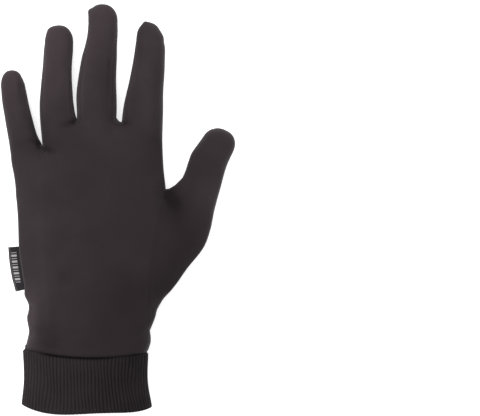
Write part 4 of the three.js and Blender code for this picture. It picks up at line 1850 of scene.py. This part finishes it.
@dataclass(frozen=True)
class HandKnit(Finish):
    """Fine plain knitting with a brushed face, with light painted paler on the fingers, the outer side and
    the thumb, and shade painted dark in its creases.
    """

    wale: float = 0.0008
    course: float = 0.00062
    relief: float = 0.00007
    # The colour that the painted light goes to.
    painted_lit_colour: tuple[float, float, float, float] = colour(64, 56, 59)
    # The colour of dark stitches, seams and painted shade.
    deep: tuple[float, float, float, float] = colour(25, 20, 22)

    def dress(self, graph: Graph) -> None:
        """Colours the cloth by slow mottling, fibre noise, painted light and painted shade, and gives it
        stitches.

        Args:
            graph: The nodes of the material.
        """
        where = graph.add("ShaderNodeTexCoord").outputs
        u, v, _ = graph.axes(where["UV"])
        across, along, _ = graph.axes(where["Object"])
        stitches = jersey(u, v, self.wale, self.course)
        fibre = graph.noise(where["Object"], 2600, 3)
        mottle = graph.noise(where["Object"], 34, 3)
        # Painted light by place, a painted highlight beside the fingers' seams, and a random mottle.
        light_and_mottle = self._painted_light(across, along) + graph.mark("rim") * 0.4 + (mottle - 0.5) * 0.8
        tint = graph.mix(light_and_mottle.rise(0.0, 1.0), self.base, self.painted_lit_colour)
        # Dark stitches and fibres, darker seams, and the creases' painted shade from the fold mark.
        shade = (1 - stitches) * 0.22 + (0.5 - fibre) * 0.3
        shade = shade + graph.mark("seam") * 0.2 + graph.mark("fold") * 0.6
        tint = graph.mix(shade.rise(0.0, 1.0), tint, self.deep)
        graph.feed(Base_Color=tint, Roughness=self.roughness + (fibre - 0.5) * 0.2)
        graph.bump(stitches * 0.75 + fibre * 0.45, self.relief)

    def _painted_light(self, across: Value, along: Value) -> Value:
        """How much light is painted on the cloth: a sum of places, each bounded by soft steps and given a
        strength.

        Args:
            across: The place across the hand in metres, larger towards the thumb.
            along: The place along it in metres, larger towards the fingertips.

        Returns:
            The wear.
        """
        fingers = along.rise(0.05, 0.13) * 0.5
        outer_side = across.fall(-0.07, 0.04) * 0.35
        thumb = across.rise(0.035, 0.065) * 0.36
        little_tip = across.fall(-0.065, -0.045) * along.rise(0.03, 0.06) * 0.12
        index_root = across.rise(0.0, 0.02) * along.rise(0.035, 0.06) * along.fall(0.07, 0.11)
        index_root = index_root * (0.3 - across.rise(0.017, 0.027) * 0.2)
        outer_wrist = across.fall(-0.056, -0.046) * along.fall(-0.062, -0.044)
        outer_wrist = outer_wrist * along.rise(-0.094, -0.08) * 0.6
        return fingers + outer_side + thumb + little_tip + index_root + outer_wrist


@dataclass(frozen=True)
class RibKnit(Finish):
    """Ribbed knitting: two columns of stitches on each rib, and shade painted into the grooves between
    them.
    """

    rib: float = 0.00211
    course: float = 0.0011
    relief: float = 0.00014
    # The colour of the painted shade and of dark stitches.
    deep: tuple[float, float, float, float] = colour(14, 11, 12)

    def dress(self, graph: Graph) -> None:
        """Paints shade into the grooves, under the hand's hem and on the side towards the thumb, and gives
        the ribs their stitches.

        Args:
            graph: The nodes of the material.
        """
        where = graph.add("ShaderNodeTexCoord").outputs
        u, v, _ = graph.axes(where["UV"])
        across, _, _ = graph.axes(where["Object"])
        stitches = jersey(u, v, self.rib / 2, self.course)
        fibre = graph.noise(where["Object"], 2200, 3)
        mottle = graph.noise(where["Object"], 60, 3)
        # Painted shade in the grooves, painted shadow under the hand's hem from the seam mark, and painted
        # shade towards the thumb side, with dark stitches, fibres and mottle.
        shade = graph.mark("groove") * (0.12 + mottle * 0.5) + graph.mark("seam") * 0.9
        shade = shade + (1 - stitches) * 0.22 + (0.5 - fibre) * 0.35
        shade = shade + (mottle - 0.5) * 0.25 + across.rise(-0.055, 0.02) * 0.3
        tint = graph.mix(shade.rise(0.0, 1.0), self.base, self.deep)
        graph.feed(Base_Color=tint, Roughness=self.roughness + (fibre - 0.5) * 0.16)
        graph.bump(stitches * 0.8 + fibre * 0.4, self.relief)


@dataclass(frozen=True)
class LabelTape(Finish):
    """Satin tape with a lane of plain woven bars along it, by turns wide and narrow.

    A field with two numbers holds where something starts to end and where it has ended.
    """

    thread: float = 0.00032
    relief: float = 0.00005
    bar: tuple[float, float, float, float] = colour(190, 187, 189)
    lane: float = 0.0053
    lane_half: tuple[float, float] = (0.0016, 0.0019)
    bar_pitch: float = 0.0037
    wide_half: tuple[float, float] = (0.15, 0.19)
    narrow_half: tuple[float, float] = (0.05, 0.09)
    first_bar: tuple[float, float] = (0.0025, 0.0027)
    last_bar: tuple[float, float] = (0.0232, 0.0234)
    edge_line: float = 0.0078
    edge_half: tuple[float, float] = (0.0001, 0.0003)

    def dress(self, graph: Graph) -> None:
        """Weaves the tape and its bars.

        Args:
            graph: The nodes of the material.
        """
        where = graph.add("ShaderNodeTexCoord").outputs
        u, v, _ = graph.axes(where["UV"])
        warp = 0.5 + 0.5 * (u * (2 * math.pi / self.thread)).cosine()
        weft = 0.5 + 0.5 * (v * (2 * math.pi / self.thread)).cosine()
        fibre = graph.noise(where["Object"], 2400, 2)
        place = v / self.bar_pitch
        wide = abs(place.fraction() - 0.5).fall(*self.wide_half)
        narrow = abs((place + 0.5).fraction() - 0.5).fall(*self.narrow_half)
        bars = abs(u - self.lane).fall(*self.lane_half) * (wide + narrow * 0.7)
        bars = bars * v.rise(*self.first_bar) * v.fall(*self.last_bar)
        edge = abs(u - self.edge_line).fall(*self.edge_half)
        tint = graph.mix((bars * 0.95 + edge * 0.25) * (0.6 + 0.4 * warp), self.base, self.bar)
        graph.feed(Base_Color=tint, Roughness=self.roughness + (fibre - 0.5) * 0.15)
        graph.bump(warp * weft * 0.8 + bars * 0.3, self.relief)


@dataclass(frozen=True)
class FloorFinish(Finish):
    """Plain pale studio paper, faintly lit from below, as for a picture to be cut out."""

    glow: float = 0.7

    def dress(self, graph: Graph) -> None:
        """Gives the paper a barely visible grain.

        Args:
            graph: The nodes of the material.
        """
        where = graph.add("ShaderNodeTexCoord").outputs
        grain = graph.noise(where["Object"], 900, 2)
        graph.feed(Base_Color=self.base, Roughness=self.roughness + (grain - 0.5) * 0.05)
        graph.feed(Emission_Color=self.base, Emission_Strength=self.glow)


# ---- Camera, floor and light ----


@dataclass(frozen=True)
class Lamp:
    """A square soft light: where it hangs, what it faces, its side, in metres, and its watts."""

    name: str
    place: tuple[float, float, float]
    aim: tuple[float, float, float]
    side: float
    power: float

    def build(self) -> None:
        """Hangs the lamp."""
        data = bpy.data.lights.new(self.name, "AREA")
        data.shape, data.size, data.energy = "SQUARE", self.side, self.power
        lamp = bpy.data.objects.new(self.name, data)
        lamp.location = self.place
        lamp.rotation_mode = "QUATERNION"
        lamp.rotation_quaternion = (Vector(self.aim) - Vector(self.place)).to_track_quat("-Z", "Y")
        bpy.context.scene.collection.objects.link(lamp)


@dataclass
class Studio:
    """A camera straight over the glove, a pale floor and two soft lamps.

    The photograph's width is in pixels, and its scale in millimetres for one of them. The camera's
    axis is where the middle of its frame lies.
    """

    photo_width: int = 480
    scale: float = 0.625
    axis_x: float = 76.1
    axis_y: float = 0.3
    outline_height: float = 9.0
    lens: float = 300.0
    sensor: float = 36.0
    view_end: float = 50.0
    floor_half: float = 3000.0
    floor_points: int = 5
    floor_z: float = -0.02
    paper: tuple[float, float, float, float] = (0.92, 0.92, 0.92, 1.0)
    surround: float = 0.54
    lamps: tuple[Lamp, ...] = (
        Lamp("key", (-0.28, 0.06, 0.42), (-0.02, 0.0, 0.0), 0.7, 2.75),
        Lamp("fill", (0.26, 0.36, 0.3), (0.02, 0.04, 0.0), 0.5, 1.15),
    )

    def build(self) -> None:
        """Sets everything up."""
        self._camera()
        self._floor()
        self._world()
        for lamp in self.lamps:
            lamp.build()

    def _camera(self) -> None:
        """Looks straight down, with the width of the photograph's frame at the outline's height."""
        data = bpy.data.cameras.new("camera")
        data.lens, data.sensor_width, data.clip_end = self.lens, self.sensor, self.view_end
        camera = bpy.data.objects.new("camera", data)
        width = self.photo_width * self.scale * MM
        distance = self.lens * width / self.sensor
        camera.location = (self.axis_x * MM, self.axis_y * MM, self.outline_height * MM + distance)
        bpy.context.scene.collection.objects.link(camera)
        bpy.context.scene.camera = camera

    def _floor(self) -> None:
        """A flat sheet of paper under everything."""
        line = np.linspace(-self.floor_half, self.floor_half, self.floor_points)
        x, y = np.meshgrid(line, line)
        points = np.stack([x, y, np.full_like(x, self.floor_z)], -1).reshape(-1, 3)
        mesh = bpy.data.meshes.new("floor")
        mesh.from_pydata((points * MM).tolist(), [], open_faces(*x.shape).tolist())
        mesh.materials.append(FloorFinish("studio_paper", "", self.paper, 0.9, 0.0).material())
        floor = bpy.data.objects.new("floor", mesh)
        bpy.context.scene.collection.objects.link(floor)

    def _world(self) -> None:
        """An even pale surround."""
        world = bpy.data.worlds.new("studio")
        world.use_nodes = True
        background = world.node_tree.nodes["Background"]
        background.inputs["Color"].default_value = (1.0, 1.0, 1.0, 1.0)
        background.inputs["Strength"].default_value = self.surround
        bpy.context.scene.world = world
        bpy.context.scene.view_settings.view_transform = "Standard"


def main() -> None:
    """Builds the glove and its studio."""
    logging.basicConfig(level=logging.INFO, format="%(name)s: %(message)s")
    hand_knit = HandKnit("brushed_jersey", "hand_knit", colour(45, 39, 41), 0.85, 0.14)
    rib_knit = RibKnit("ribbed_yarn", "rib_knit", colour(46, 41, 42), 0.9, 0.06)
    label_tape = LabelTape("woven_tape", "label_tape", colour(44, 42, 44), 0.6, 0.01)
    # A lighter copy of the cloth for the fingers' side strips: painted light on their sides.
    lit_strip_knit = HandKnit("brushed_jersey_strip_lit", "hand_knit", colour(52, 45, 48), 0.85, 0.14)
    Hand().build({panel: lit_strip_knit if panel in FOURCHETTES else hand_knit for panel in Panel})
    Cuff().build(rib_knit)
    Label().build(label_tape)
    Studio().build()


if __name__ == "__main__":
    main()
